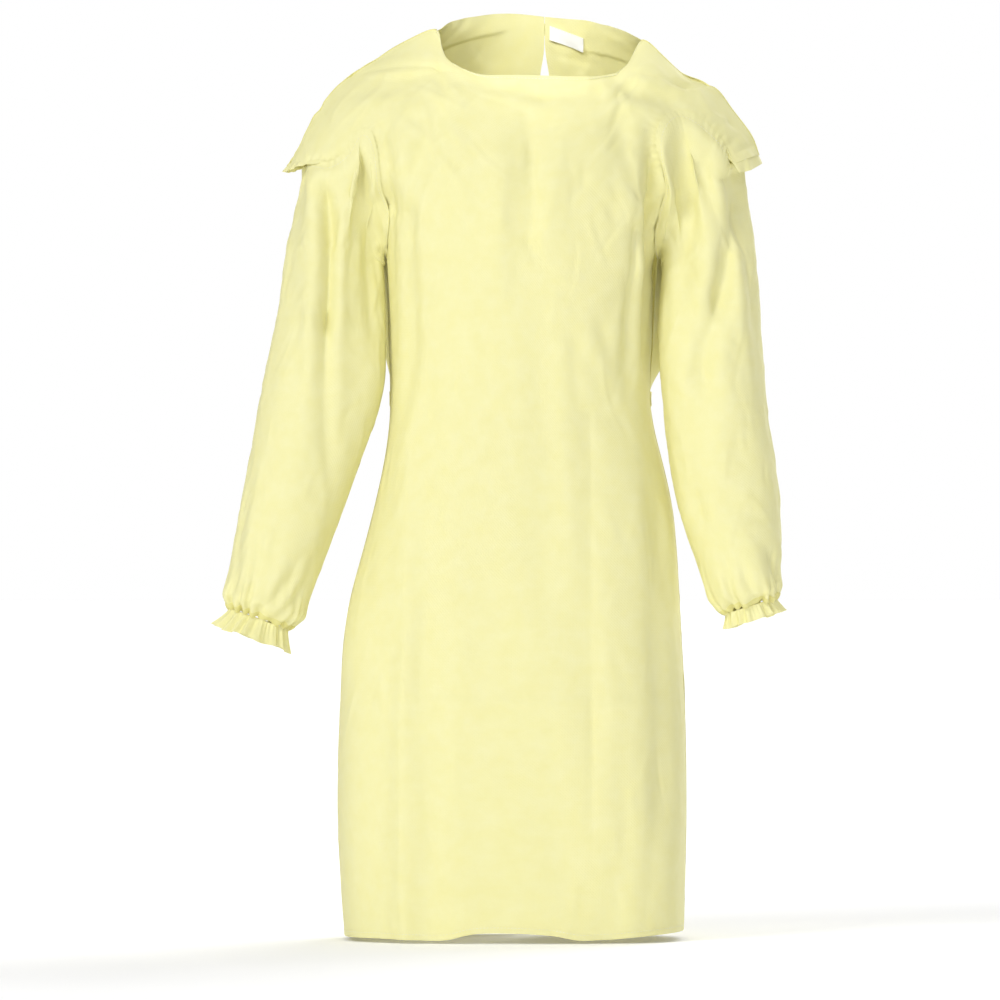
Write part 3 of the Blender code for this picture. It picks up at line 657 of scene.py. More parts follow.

# %% [markdown]
# ## Creases
#
# The gown was folded flat in its packet, so the sheet keeps straight, sharp lines. Worn, it also hangs in
# soft troughs between the shoulder, the chest and the arms, and it is drawn into small pleats wherever it
# is gathered. Each crease is placed with a start, an end, a bow, a width and a depth. A cloth
# simulation could find folds of its own, but not these. Four kinds are enough: a soft "trough" with low
# shoulders beside it, a "hollow" without them, a "sharp" line, and a "lap", where the cloth on one side
# of the line lies lower.

# %% How a crease is pressed in
SHOULDER_SHARE = 0.35  # how high the shoulders beside a trough stand, against its depth
CRINKLE_REACH = 30  # rows and columns of the grid that one small crease may touch


def crease_depth(flat, x0, z0, x1, z1, bow, half_width, deep, at_start, at_end, kind="trough"):
    start, run = np.array([x0, z0], float), np.array([x1 - x0, z1 - z0], float)
    length = np.hypot(*run)
    gap = flat - start
    raw = (gap @ run) / length**2
    share = np.clip(raw, 0, 1)
    off = (run[0] * gap[..., 1] - run[1] * gap[..., 0]) / length - bow * 4 * share * (1 - share)
    past = (raw - share) * length
    strength = np.interp(share, [0, 0.3, 0.7, 1], [at_start, 1, 1 - 0.4 * (1 - at_end), at_end])
    strength = strength * np.exp(-((past / half_width) ** 2))
    if kind == "trough":
        beside = soft(np.abs(off) - 1.1 * half_width, 1.2 * half_width)
        form = soft(off, half_width) - SHOULDER_SHARE * beside
    elif kind == "hollow":
        form = soft(off, half_width)
    elif kind == "sharp":
        form = 1.5 * np.exp(-np.abs(off) / (0.75 * half_width))
    else:
        one_side = 1 + np.exp(np.clip(-off / (0.1 * half_width), -30, 30))
        form = np.exp(-np.abs(off) / half_width) / one_side
    return deep * strength * form


def pressed(grid, normals, creases, face):
    flat = grid[..., [0, 2]]
    depth = np.zeros(grid.shape[:2])
    for row in creases[face]:
        depth += crease_depth(flat, *row)
    return grid - normals * (depth * facing_face(normals, face))[..., None]


def crinkled(grid, normals, seed, count, size, width, deep):
    """Many short, faint creases in all directions, which a thin crisp sheet keeps from handling."""
    rng = np.random.default_rng(seed)
    rows, columns = grid.shape[:2]
    depth = np.zeros((rows, columns))
    for _ in range(count):
        i, j = rng.integers(rows), rng.integers(columns)
        centre = grid[i, j]
        across = unit(np.cross(normals[i, j], [0.0, 0.0, 1.0]))
        lean = rng.normal(0.0, 0.6)
        way = math.cos(lean) * np.array([0, 0, 1.0]) + math.sin(lean) * across
        side = np.cross(way, normals[i, j])
        length, half = rng.uniform(*size), rng.uniform(*width)
        reach = int(rng.uniform(0.6, 1.0) * CRINKLE_REACH)
        near = (slice(max(i - reach, 0), i + reach), slice(max(j - reach, 0), j + reach))
        gap = grid[near] - centre
        run, off = gap @ way, gap @ side
        off = off - rng.uniform(-0.15, 0.15) * run**2 / length
        form = soft(off, half) - 0.5 * soft(off - half, 1.4 * half)
        form = np.exp(-((run / length) ** 2)) * form
        depth[near] += rng.uniform(0.3, 1.0) * deep * rng.choice([-1, 1]) * form
    return grid - normals * depth[..., None]


# %% [markdown]
# ## The creases of this gown
#
# Depths are true millimetres, and a minus stands proud. The long shallow ones on the skirt are packet
# folds; the deep ones lie where the arm meets the chest and under the dropped shoulders. A wide hollow
# takes a whole side of a sleeve back.

# %% Creases of the body
#   x, z at the start, x, z at the end, bow, half width, depth, strength at start and end,
#   and the kind where it isn't a trough
BODY_CREASES = {
    "front": (
        (-66, -80, 20, -90, 3, 17, 4.5, 0.5, 1, "hollow"),
        (20, -90, 118, -88, -3, 17, 4.5, 1, 0.4, "hollow"),
        (-206, -66, -104, -58, 5, 9, 2.6, 0.6, 1, "sharp"),
        (-104, -58, -86, -62, 0, 9, 2.2, 1, 0.6, "sharp"),
        (134, -64, 200, -82, 3, 9, 2.6, 0.6, 1, "sharp"),
        (-150, -96, -168, -140, 3, 12, 2.6, 0.4, 0.8),
        (-130, -84, -196, -150, -5, 26, 3.6, 0.4, 0.6),
        (-180, -122, -166, -225, 5, 20, 9, 0.2, 1),
        (-166, -225, -162, -420, -4, 24, 9, 1, 0.2),
        (158, -150, 163, -300, 2, 20, 25, 0.3, 1),
        (163, -300, 158, -450, -2, 19, 21, 1, 0.1),
        (5, -122, 9, -275, 6, 10, 3.2, 0.3, 0.2),
        (9, -275, 24, -305, 0, 10, 1.8, 1, 0.1),
        (90, -70, 92, -118, 2, 9, 1.8, 1, 0.1),
        (-118, -118, -158, -152, -6, 16, 3.0, 0.2, 0.8),
        (-92, -78, -134, -108, 4, 14, 2.2, 0.6, 0.1),
        (-104, -60, -206, -66, 7, 16, 6.0, 0.9, 0.3, "lap"),
        (108, -68, 184, -112, 5, 18, 4.5, 0.5, 0.9),
        (100, -66, 160, -96, -4, 14, 2.6, 0.7, 0.2),
        (188, -80, 226, -80, -2, 9, 5.5, 0.4, 0.6, "lap"),
        (-252, -102, -236, -130, 3, 10, 2.6, 0.4, 0.2),
        (-252, -178, -202, -152, -8, 12, 4.0, 1, 0.1),
        (190, -116, 256, -176, 6, 9, 3.4, 0.7, 0.5, "lap"),
        (254, -151, 263, -143, 0, 4, 1.8, 0.7, 0.3, "sharp"),
        (263, -161, 280, -152, 0, 4, 1.8, 0.8, 0.4, "sharp"),
        (252, -124, 258, -131, 0, 4, 1.8, 0.7, 0.5, "sharp"),
        (246, -148, 253, -163, 1, 5, 2.0, 0.5, 0.9, "sharp"),
        (60, -380, 92, -440, -3, 14, 2.0, 0.2, 0.4),
        (90, -364, 112, -438, 3, 14, 2.2, 0.2, 0.4),
        (58, -394, 68, -482, 2, 12, 1.6, 0.4, 0.4),
        (-112, -414, -118, -480, 3, 12, 2.0, 0.2, 0.6),
        (-138, -430, -150, -500, 3, 13, 2.6, 0.3, 0.5),
        (-126, -482, -88, -482, 0, 5, 0.9, 0.2, 0.2, "sharp"),
        (-125, -482, 148, -483, 1, 7, 0.8, 0.4, 0.6, "sharp"),
        (80, -483, 90, -486, 0, 9, 2.2, 0.6, 0.6, "sharp"),
        (101, -485, 132, -488, 0, 10, 2.6, 0.6, 0.6, "sharp"),
        (83, -568, 128, -566, 0, 10, 2.0, 0.7, 0.2, "sharp"),
        (83, -486, 84, -830, 0, 6, 0.8, 0.6, 0.6, "sharp"),
        (84, -830, 84, -1010, 0, 7, 1.6, 1, 0.2, "sharp"),
        (-153, -1120, -144, -560, 3, 56, 5.5, 1, 0.3, "lap"),
        (-135, -830, 156, -829, 0, 12, -2.2, 0.3, 0.9, "sharp"),
        (82, -828, 150, -828, 0, 12, 1.8, 0.7, 0.3, "lap"),
        (168, -560, 178, -700, -6, 18, 5.0, 0.3, 0.6),
        (20, -660, 62, -820, 8, 40, 2.4, 0.3, 0.5),
        (40, -900, 84, -1110, -10, 44, 2.6, 0.2, 0.6),
        (-60, -620, -40, -800, 6, 42, 1.6, 0.2, 0.2),
        (120, -880, 104, -1120, 8, 30, 3.0, 0.2, 0.8),
        (-190, -780, -186, -1110, 8, 26, 3.2, 0.2, 0.7),
        (-120, -1092, -92, -1116, 2, 6, 1.4, 0.3, 1, "sharp"),
        (-190, -620, -176, -760, -5, 20, 2.2, 0.3, 0.3),
        (160, -900, 150, -1080, 6, 22, 3.0, 0.3, 0.6),
        (-60, -130, -84, -330, 9, 40, 2.2, 0.2, 0.2),
        (70, -150, 84, -300, -8, 34, 2.2, 0.2, 0.2),
        (-130, -330, -90, -400, 5, 20, 1.8, 0.4, 0.1),
        (126, -330, 96, -400, -5, 20, 2.0, 0.4, 0.1),
    ),
    "back": (
        (-106, -38, -28, -13, 4, 10, 3.5, 0.9, 0.5, "lap"),
        (78, -35, 134, -50, 2, 9, 2.6, 0.5, 0.8, "lap"),
        (-96, -60, -190, -96, 7, 18, 4.0, 0.8, 0.2),
        (140, -66, 214, -100, -6, 18, 4.0, 0.8, 0.2),
        (-30, -70, -110, -170, 10, 26, 4.0, 0.3, 0.2),
        (84, -78, 130, -180, -9, 24, 4.0, 0.3, 0.2),
        (-176, -120, -160, -240, 6, 22, 7.0, 0.2, 0.9),
        (180, -120, 162, -240, -6, 22, 7.0, 0.2, 0.9),
        (-160, -250, -156, -430, -5, 24, 7.0, 0.9, 0.2),
        (162, -250, 156, -430, 5, 24, 7.0, 0.9, 0.2),
        (8, -200, -40, -452, 12, 26, 3.4, 0.2, 0.8),
        (48, -210, 84, -452, -10, 26, 3.4, 0.2, 0.8),
        (-20, -472, -60, -640, 8, 22, 3.6, 0.9, 0.2),
        (-70, -472, -120, -600, 5, 18, 2.8, 0.8, 0.2),
        (60, -472, 84, -660, -6, 22, 3.6, 0.9, 0.2),
        (104, -472, 140, -600, -6, 18, 2.8, 0.8, 0.2),
        (-206, -484, 160, -483, 0, 7, 1.0, 0.4, 0.5, "sharp"),
        (-216, -829, 190, -829, 0, 7, 1.3, 0.4, 0.6, "sharp"),
        (-96, -500, -98, -1110, 0, 7, 1.3, 0.3, 0.6, "sharp"),
        (138, -520, 140, -1100, 0, 7, 1.2, 0.3, 0.5, "sharp"),
        (-40, -700, -70, -1110, 14, 44, 5.0, 0.2, 0.8),
        (92, -720, 110, -1110, -12, 40, 5.0, 0.2, 0.8),
        (-160, -760, -172, -1110, 10, 30, 4.0, 0.2, 0.7),
    ),
}

# %% Creases of the sleeves
SLEEVE_CREASES = {
    "l": {
        "front": (
            (-186, -236, -178, -400, 0, 17, 13.0, 0.7, 0.3, "hollow"),
            (-243, -214, -238, -380, 2, 26, 5.0, 0.7, 1, "lap"),
            (-238, -380, -235, -590, 0, 30, 5.0, 1, 0.1, "lap"),
            (-240, -206, -238, -366, 5, 15, 13.0, 0.8, 0.8),
            (-238, -366, -234, -575, -4, 16, 8.0, 1, 0.1),
            (-218, -240, -208, -380, 4, 15, 3.0, 0.2, 0.4),
            (-275, -316, -282, -480, 5, 16, 3.0, 0.3, 0.2),
            (-258, -430, -262, -600, 5, 16, 2.0, 0.2, 0.2),
            (-330, -560, -350, -700, -5, 14, 4.5, 0.2, 1),
            (-318, -600, -336, -716, 4, 10, 3.4, 0.2, 1),
            (-268, -656, -312, -718, 4, 12, 4.5, 0.3, 1),
            (-256, -672, -290, -722, 3, 9, 3.4, 0.3, 1),
            (-290, -616, -322, -716, -5, 13, 2.2, 0.2, 0.8),
            (-226, -600, -262, -676, 6, 14, 3.0, 0.3, 0.4),
        ),
        "back": (
            (-240, -196, -236, -380, -6, 20, 7.0, 0.6, 0.3),
            (-206, -214, -200, -370, -5, 18, 5.0, 0.4, 0.3),
            (-286, -330, -300, -500, 7, 22, 4.0, 0.2, 0.3),
            (-190, -420, -262, -476, -8, 20, 4.5, 0.5, 0.2),
            (-200, -470, -276, -500, -6, 16, 3.6, 0.4, 0.2),
            (-316, -600, -338, -712, -4, 14, 4.4, 0.2, 1),
            (-288, -620, -316, -720, 4, 12, 4.0, 0.2, 1),
            (-262, -640, -292, -722, 4, 11, 3.6, 0.2, 1),
        ),
    },
    "r": {
        "front": (
            (191, -120, 198, -225, 3, 18, 6.0, 0.8, 1),
            (198, -225, 196, -330, -2, 18, 8.0, 1, 0.2),
            (220, -150, 214, -250, 4, 18, 5.0, 0.5, 0.3),
            (206, -330, 214, -560, 4, 32, 7.0, 0.2, 0.2, "hollow"),
            (262, -188, 212, -200, 3, 8, 2.4, 1, 0.2, "sharp"),
            (262, -200, 240, -342, 4, 18, 9.0, 0.7, 0.9),
            (240, -342, 213, -460, -3, 20, 6.5, 1, 0.2),
            (271, -230, 284, -366, -3, 13, 5.5, 0.5, 0.5),
            (284, -366, 290, -470, 3, 14, 3.6, 0.6, 0.2),
            (170, -232, 176, -256, 0, 8, 3.0, 0.4, 0.4),
            (205, -420, 232, -470, 6, 18, 3.4, 0.3, 0.3),
            (236, -576, 260, -578, 0, 7, 1.6, 0.4, 0.3, "sharp"),
            (236, -612, 302, -614, 2, 18, 3.0, 0.4, 0.5, "lap"),
            (256, -500, 262, -560, 5, 26, 3.4, 0.3, 0.3),
            (294, -640, 314, -702, 3, 13, 5.0, 0.3, 1),
            (262, -656, 286, -706, -3, 12, 4.0, 0.3, 1),
            (236, -640, 262, -712, 3, 12, 3.6, 0.2, 1),
            (248, -680, 256, -716, 0, 8, 3.0, 0.4, 1),
            (206, -560, 232, -640, -6, 18, 3.4, 0.3, 0.4),
        ),
        "back": (
            (236, -190, 230, -370, 6, 20, 7.0, 0.6, 0.3),
            (204, -210, 200, -360, 5, 18, 5.0, 0.4, 0.3),
            (276, -340, 282, -500, -7, 22, 4.0, 0.2, 0.3),
            (186, -430, 250, -480, 8, 20, 4.5, 0.5, 0.2),
            (196, -480, 262, -506, 6, 16, 3.6, 0.4, 0.2),
            (294, -600, 302, -700, 4, 14, 4.4, 0.2, 1),
            (262, -612, 280, -706, -4, 12, 4.0, 0.2, 1),
            (236, -620, 256, -708, -4, 11, 3.6, 0.2, 1),
        ),
    },
}

# %% [markdown]
# ## Gathers
#
# The wrist holds a narrow elastic, so the sleeve's end is drawn into many small pleats of uneven length,
# and the frill below it opens in the same pleats. The armhole seam is eased in, which puckers the cloth
# on both sides of it. A wave whose pitch and height both wander gives this without any two pleats alike.

# %% Gathers
GATHERS = 19  # pleats round the wrist
GATHER_REACH = (26.0, 84.0)  # how far up the sleeve the shortest and the longest pleat run
GATHER_DEPTH = 3.0
PUCKER_PITCH, PUCKER_DEPTH, PUCKER_REACH = 9.0, 0.9, 13.0
PUCKER_FROM = -230  # the height below which the armhole isn't puckered


def wander(turn, seed, waves, spread):
    rng = np.random.default_rng(seed)
    total = np.zeros_like(turn)
    for k in range(1, waves + 1):
        total += rng.normal(0, 1) * np.sin(k * turn + rng.uniform(0, 2 * math.pi)) / math.sqrt(waves)
    return spread * total


def pleats(turn, side):
    seed = {"l": 3, "r": 4}[side]
    wave = np.sin(turn * GATHERS + wander(turn, seed, 5, 1.3))
    height = 1 + wander(turn, seed + 10, 7, 0.35)
    return height * (np.abs(wave) ** 0.8 * np.sign(wave))


def gathered(grid, normals, side):
    """Draws the lower end of a sleeve into pleats."""
    turn = np.linspace(0, 2 * np.pi, grid.shape[1], endpoint=False)
    run = steps_of(grid).mean(1)
    up = (run.sum() - added_up(run))[:, None]
    low, high = GATHER_REACH
    uneven = wander(turn, 21 if side == "l" else 22, 9, 0.35)
    reach = low + (high - low) * np.clip(0.5 + uneven, 0, 1)[None]
    near = np.clip(1 - up / reach, 0, 1) ** 1.5
    return grid + normals * (pleats(turn, side)[None] * GATHER_DEPTH * near)[..., None]


def puckered(grid, normals, edge, seed):
    """Puckers the cloth beside a gathered edge. `edge` holds each point's distance and place on it."""
    off, place = edge
    wave = np.sin(2 * math.pi * place / PUCKER_PITCH + 1.6 * np.sin(place / 23.0 + seed))
    deep = PUCKER_DEPTH * (0.6 + 0.4 * np.sin(place / 17.0 + 2 * seed))
    deep = deep * np.exp(-((off / PUCKER_REACH) ** 2))
    deep = deep * np.clip((grid[..., 2] - PUCKER_FROM) / 50, 0, 1)
    return grid + normals * (wave * deep)[..., None]


# %% [markdown]
# ## Fine shells
#
# The coarse grids are read finely enough for a 4 mm crease, and the creases are pressed into them one
# after another. A shell is then the grid, the same grid one cloth thickness further in, and a rim, so
# that it is a closed wall like the real sheet.

# %% Fine grids
SHEET = 0.5  # thickness of a shell
CRINKLES = {"front": 420, "back_l": 240, "back_r": 240, "sleeve_l": 420, "sleeve_r": 420}
CRINKLE_SIZE, CRINKLE_WIDTH, CRINKLE_DEPTH = (12.0, 40.0), (4.0, 10.0), 1.0


def nearest_on_line(places, line):
    """The nearest points of a line to some x-z places, how far off they are, and how far along the line."""
    line = np.array([row[:2] for row in line], float)
    best, gap, place = places.copy(), np.full(places.shape[:-1], 1e9), np.zeros(places.shape[:-1])
    run_so_far = 0.0
    for start, end in zip(line[:-1], line[1:]):
        run = end - start
        length = float(np.hypot(*run))
        share = np.clip(((places - start) @ run) / length**2, 0, 1)
        point = start + share[..., None] * run
        off = np.linalg.norm(places - point, axis=-1)
        best = np.where((off < gap)[..., None], point, best)
        place = np.where(off < gap, run_so_far + share * length, place)
        gap = np.minimum(gap, off)
        run_so_far += length
    return best, gap, place


# %% [markdown]
# Beside the armpit the back panel swells out behind the sleeve, and the sleeve's inner side keeps clear
# of the chest. From the front one looks into a dark trench there, not through a gap.

# %% Under the arms
BACK_SWELL = {
    "height": (-480, -410, -260, -190),
    "depth": (6, 40, 75, 110),
    "out": {"l": 12.0, "r": 24.0},
}
SLEEVE_CLEAR = {"l": (0.0, -300, 90), "r": (1.0, -285, 80)}  # how far out, at what height, over what height


def swollen(grid, side):
    up = np.interp(grid[..., 2], BACK_SWELL["height"], (0, 1, 1, 0))
    deep = np.interp(grid[..., 1], BACK_SWELL["depth"], (0, 1, 1, 0))
    share = up * deep * np.clip((np.abs(grid[..., 0] - 1) - 110) / 40, 0, 1)
    grid = grid.copy()
    grid[..., 0] += OUT[side] * BACK_SWELL["out"][side] * eased(share)
    return grid


def kept_clear(grid, side):
    out, height, reach = SLEEVE_CLEAR[side]
    inner = np.clip((235 - OUT[side] * grid[..., 0]) / 60, 0, 1)
    grid = grid.copy()
    grid[..., 0] += OUT[side] * out * inner * np.exp(-(((grid[..., 2] - height) / reach) ** 2))
    return grid


# %% [markdown]
# On the real gown the sleeve's head lies on the chest and shoulder, and the seam hardly shows there. The
# panels are creased first, and then the sleeve's upper rows are drawn down onto them. Each point looks
# for the nearest panel points and moves to just above them, less and less with its distance from the
# seam.

# %% Sleeve laid on the panel
#   columns of a sleeve's ring, and how far from its edge the sleeve follows the panel, in millimetres
FOLLOWS = {
    "l": (
        (0, 6), (2, 12), (4, 32), (6, 48), (8, 54), (13, 54), (16, 10), (20, 40), (27, 30), (30, 12), (32, 6),
    ),
    "r": ((0, 6), (3, 12), (5, 28), (7, 42), (13, 44), (16, 10), (20, 40), (27, 30), (30, 12), (32, 6)),
}
LAID_WITHIN = 16.0  # a sleeve follows the panel no further from it than this
TRENCH_COLUMNS = (4, 29)  # before the first and past the second, the panel's steep sides count too
NEAR_POINTS = 8
SHIFTS_EVENED = 3


def laid_on_panel(grid, side):
    """Draws a sleeve's upper rows onto the pressed panels, so that the two sheets run on into each other."""
    keys = ("front", "back_" + side)
    points, ways = (np.concatenate([fine[key][k].reshape(-1, 3) for key in keys]) for k in (0, 1))
    here = (points[:, 2] > ARMPIT_Z - 60) & (points[:, 0] * OUT[side] > 110)
    points, ways = points[here], ways[here]
    trees = {}
    not_steep = np.abs(ways[:, 1]) + ways[:, 2] > 0.4
    for name, chosen in (("all", np.ones(len(points), bool)), ("open", not_steep)):
        trees[name] = KDTree(int(chosen.sum()))
        for number in np.flatnonzero(chosen):
            trees[name].insert(points[number], int(number))
        trees[name].balance()
    columns = grid.shape[1]
    at = np.arange(columns) * (2 * HALF_RING) / columns
    reach = np.interp(at, *np.array(FOLLOWS[side], float).T)
    turn = 2 * np.pi * at / (2 * HALF_RING)
    held = 1 - near_tip(turn)
    share = eased(np.clip(1.15 - run_down(grid) / reach, 0, 1)) * held
    rows = int(np.argmax((share <= 0).all(1)))
    shift = np.zeros_like(grid[:rows])
    for i in range(rows):
        for j in range(columns):
            if share[i, j] > 0:
                in_trench = at[j] < TRENCH_COLUMNS[0] or at[j] > TRENCH_COLUMNS[1]
                found = trees["all" if in_trench else "open"].find_n(grid[i, j], NEAR_POINTS)
                near = [number for _, number, _ in found]
                way = unit(ways[near].mean(0))
                high = float((grid[i, j] - points[near].mean(0)) @ way)
                beside = min(max(1.8 - found[0][2] / LAID_WITHIN, 0), 1)
                shift[i, j] = way * (ON_PANEL - high) * share[i, j] * beside
    for _ in range(SHIFTS_EVENED):
        shift = (np.roll(shift, 1, 1) + 2 * shift + np.roll(shift, -1, 1)) / 4
    grid = grid.copy()
    grid[:rows] += shift
    return grid


# %% [markdown]
# Now each grid is made fine and its forms are pressed in, the large ones first: creases, gathers, puckers
# and, last, the small crinkles. The panels come before the sleeves, which are laid on them.

# %% The fine grids
fine = {}
for seed, (key, (down, across)) in enumerate(FINE.items()):
    coarse_grid, normals = coarse[key]
    is_sleeve = key.startswith("sleeve")
    side = key[-1]
    grid = finer(coarse_grid, down, across, around=is_sleeve)
    crinkles = (seed, CRINKLES[key], CRINKLE_SIZE, CRINKLE_WIDTH, CRINKLE_DEPTH)
    if is_sleeve:
        grid = kept_clear(grid, side)
        normals = tube_normals(grid)
        for face in ("front", "back"):
            grid = pressed(grid, normals, SLEEVE_CREASES[side], face)
        grid = gathered(grid, tube_normals(grid), side)
        flat = np.zeros(grid.shape[:2])
        off = added_up(steps_of(grid).mean(1))[:, None] + flat
        place = added_up(steps_of(grid[0]))[None] + flat
        grid = puckered(grid, tube_normals(grid), (off, place), seed)
        grid = crinkled(grid, tube_normals(grid), *crinkles)
        grid = laid_on_panel(grid, side)
        normals = tube_normals(grid)
    else:
        smooth = unit(finer(normals, down, across))
        grid = grid if key == "front" else swollen(grid, side)
        face = "front" if key == "front" else "back"
        grid = pressed(grid, outward(grid), BODY_CREASES, face)
        for at in "lr" if key == "front" else side:
            edge = nearest_on_line(grid[..., [0, 2]], ARMHOLE_LINE[at, face])[1:]
            grid = puckered(grid, smooth, edge, seed)
        grid = crinkled(grid, smooth, *crinkles)
        normals = outward(grid)
    fine[key] = (grid, normals)
    print(key, "shell grid", grid.shape[:2])

# %% [markdown]
# A grid becomes a mesh of four-cornered faces, and a shell is two such grids with a rim round every open
# edge. Each point also keeps its place on the flat sheet, in millimetres, so that the weld points of the
# cloth follow the cut.

# %% Mesh from a grid
SHARP_FROM = 60.0  # degrees between faces from which an edge is drawn sharp


def grid_faces(rows, columns, around, base=0, flip=False):
    steps = columns if around else columns - 1
    i, j = np.meshgrid(np.arange(rows - 1), np.arange(steps), indexing="ij")
    k = (j + 1) % columns
    low, high = i * columns, (i + 1) * columns
    faces = np.stack([low + j, low + k, high + k, high + j], -1).reshape(-1, 4) + base
    return faces[:, ::-1] if flip else faces


def placed(name, data):
    made = bpy.data.objects.new(name, data)
    bpy.context.collection.objects.link(made)
    return made


def add_mesh(name, points, faces, uv=None):
    """An object from points in millimetres and faces of four corners, with its flat place in `uv`."""
    mesh = bpy.data.meshes.new(name)
    points, faces = np.asarray(points, float) / 1000, np.asarray(faces)
    mesh.vertices.add(len(points))
    mesh.vertices.foreach_set("co", points.ravel())
    mesh.loops.add(faces.size)
    mesh.loops.foreach_set("vertex_index", faces.ravel().astype(np.int32))
    mesh.polygons.add(len(faces))
    starts = np.arange(0, faces.size, faces.shape[1], dtype=np.int32)
    mesh.polygons.foreach_set("loop_start", starts)
    mesh.update(calc_edges=True)
    if uv is not None:
        places = np.asarray(uv)[faces.ravel()] / 1000
        mesh.uv_layers.new(name="flat").data.foreach_set("uv", places.ravel().astype(np.float32))
    mesh.shade_smooth()
    mesh.set_sharp_from_angle(angle=math.radians(SHARP_FROM))
    mesh.validate()
    return placed(name, mesh)


def flat_places(grid):
    """Where each point lies on the flat sheet, in millimetres."""
    down, across = added_up(steps_of(grid).mean(1)), added_up(steps_of(grid, 1).mean(0))
    return np.stack(np.meshgrid(across, down), -1)


def shell(name, grid, normals, thick=SHEET, around=False, keep=None):
    """A closed wall from a grid on its outer face. `keep` says which points stay."""
    rows, columns = grid.shape[:2]
    flip = np.einsum("ijk,ijk->", grid_normals(grid, around), normals) < 0
    outer = grid.reshape(-1, 3)
    inner = (grid - normals * thick).reshape(-1, 3)
    face = grid_faces(rows, columns, around, 0, flip)
    if keep is not None:
        face = face[keep.reshape(-1)[face].all(1)]
    starts, ends = face, np.roll(face, -1, 1)
    one_way = (starts.astype(np.int64) * len(outer) + ends).ravel()
    other_way = (ends.astype(np.int64) * len(outer) + starts).ravel()
    rim = ~np.isin(one_way, other_way)
    i, j = starts.ravel()[rim], ends.ravel()[rim]
    back = len(outer)
    faces = np.concatenate([face, face[:, ::-1] + back, np.stack([j, i, i + back, j + back], -1)])
    uv = flat_places(grid).reshape(-1, 2)
    points, uv = np.concatenate([outer, inner]), np.concatenate([uv, uv])
    used, faces = np.unique(faces, return_inverse=True)
    return add_mesh(name, points[used], faces.reshape(-1, 4), uv[used])


def inside_line(places, line):
    """Whether points of the x-z plane lie on the sleeve's side of an armhole line."""
    far = np.sign(line[-1, 0]) * 460  # beyond the sleeve
    ring = np.concatenate([line, [(far, line[-1, 1]), (far, ARMPIT_Z), (line[0, 0], ARMPIT_Z)]])
    x, z = places[..., 0], places[..., 1]
    inside = np.zeros(x.shape, bool)
    for (x0, z0), (x1, z1) in zip(ring, np.roll(ring, -1, 0)):
        if z0 != z1:
            inside ^= ((z0 > z) != (z1 > z)) & (x < (x1 - x0) * (z - z0) / (z1 - z0) + x0)
    return inside


SNAP = 7.0  # how near a panel's cut edge lies to the line before it is moved onto it
UNDER_SLEEVE = 3.5  # how far the panel's cloth runs on under the sleeve


def cut_line(side, face):
    """The armhole line moved a little towards the sleeve, where the panel's cloth ends."""
    line = np.array([row[:2] for row in ARMHOLE_LINE[side, face]], float)
    run = unit(np.gradient(line, axis=0))
    across = np.stack([run[:, 1], -run[:, 0]], -1)
    inside = inside_line(line + across, line)
    across = across * np.where(np.median(inside) > 0.5, 1, -1)
    count = np.arange(len(line))
    hold = np.clip(np.minimum(count, (len(line) - 1 - count) / 3), 0, 1)
    return line + across * (UNDER_SLEEVE * hold)[:, None]


def panel_cut(key, grid):
    """Cuts a panel along the armhole lines: the grid with its edge moved onto them, and the points kept."""
    grid, keep = grid.copy(), np.ones(grid.shape[:2], bool)
    rows = LOWER_ROWS * FINE[key][0] + 4
    face = "front" if key == "front" else "back"
    for side in "lr" if key == "front" else key[-1]:
        keep[rows:] &= ~inside_line(grid[rows:][..., [0, 2]], cut_line(side, face))
    gone = np.pad(~keep, 1)
    beside = np.zeros_like(keep)
    for i in (0, 1, 2):
        for j in (0, 1, 2):
            beside |= gone[i : i + keep.shape[0], j : j + keep.shape[1]]
    edge = keep & beside
    for side in "lr" if key == "front" else key[-1]:
        here = edge & (np.sign(grid[..., 0]) == OUT[side])
        points = grid[here]
        places, gap, _ = nearest_on_line(points[:, [0, 2]], cut_line(side, face))
        near = gap < SNAP
        points[near, 0], points[near, 2] = places[near].T
        grid[here] = points
    return grid, keep


# %% [markdown]
# ## The big pieces
#
# The front, the half backs and the sleeves each replace their solid. The size that each sheet was cut to,
# before it was sewn and filled out, is printed.

# %% Front, backs and sleeves


def flat_size(grid):
    """Width and length of the flat piece, in metres, and its area."""
    sizes = flat_places(grid)[-1, -1] / 1000
    area = (steps_of(grid, 1)[:-1] * steps_of(grid)[:, :-1]).sum() / 1e6
    return (float(sizes[0]), float(sizes[1])), float(area)


EASE = 1.02  # a sewn piece is cut a little larger than it lies
LEAST_SIDE = 0.01  # metres


def closed(tube):
    """A tube's grid with its first column again at the end, as the sheet that it was sewn from."""
    return np.concatenate([tube, tube[:, :1]], 1)


def declare_sheet(obj, grid):
    size, area = flat_size(grid)
    size = tuple(max(round(EASE * s, 3), LEAST_SIDE) for s in size)
    area = round(min(area, size[0] * size[1]), 6)
    print(obj.name, "flat", size, "area", area)


def kept(obj, *nodes, slot="nonwoven"):
    """Rides a piece on the gown's one body and hides the solids it stands for."""
    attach(obj, "root")
    if nodes:
        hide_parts(*nodes)
    return obj


for key, name in (("front", "front_panel"), ("back_l", "back_panel_l"), ("back_r", "back_panel_r")):
    grid, normals = fine[key]
    cut, stays = panel_cut(key, grid)
    made = kept(shell(name + "_shell", cut, normals, keep=stays), name)
    declare_sheet(made, grid)
for side in "lr":
    grid, normals = fine["sleeve_" + side]
    made = kept(shell(f"sleeve_{side}_shell", grid, normals, around=True), "sleeve_" + side)
    declare_sheet(made, closed(grid))

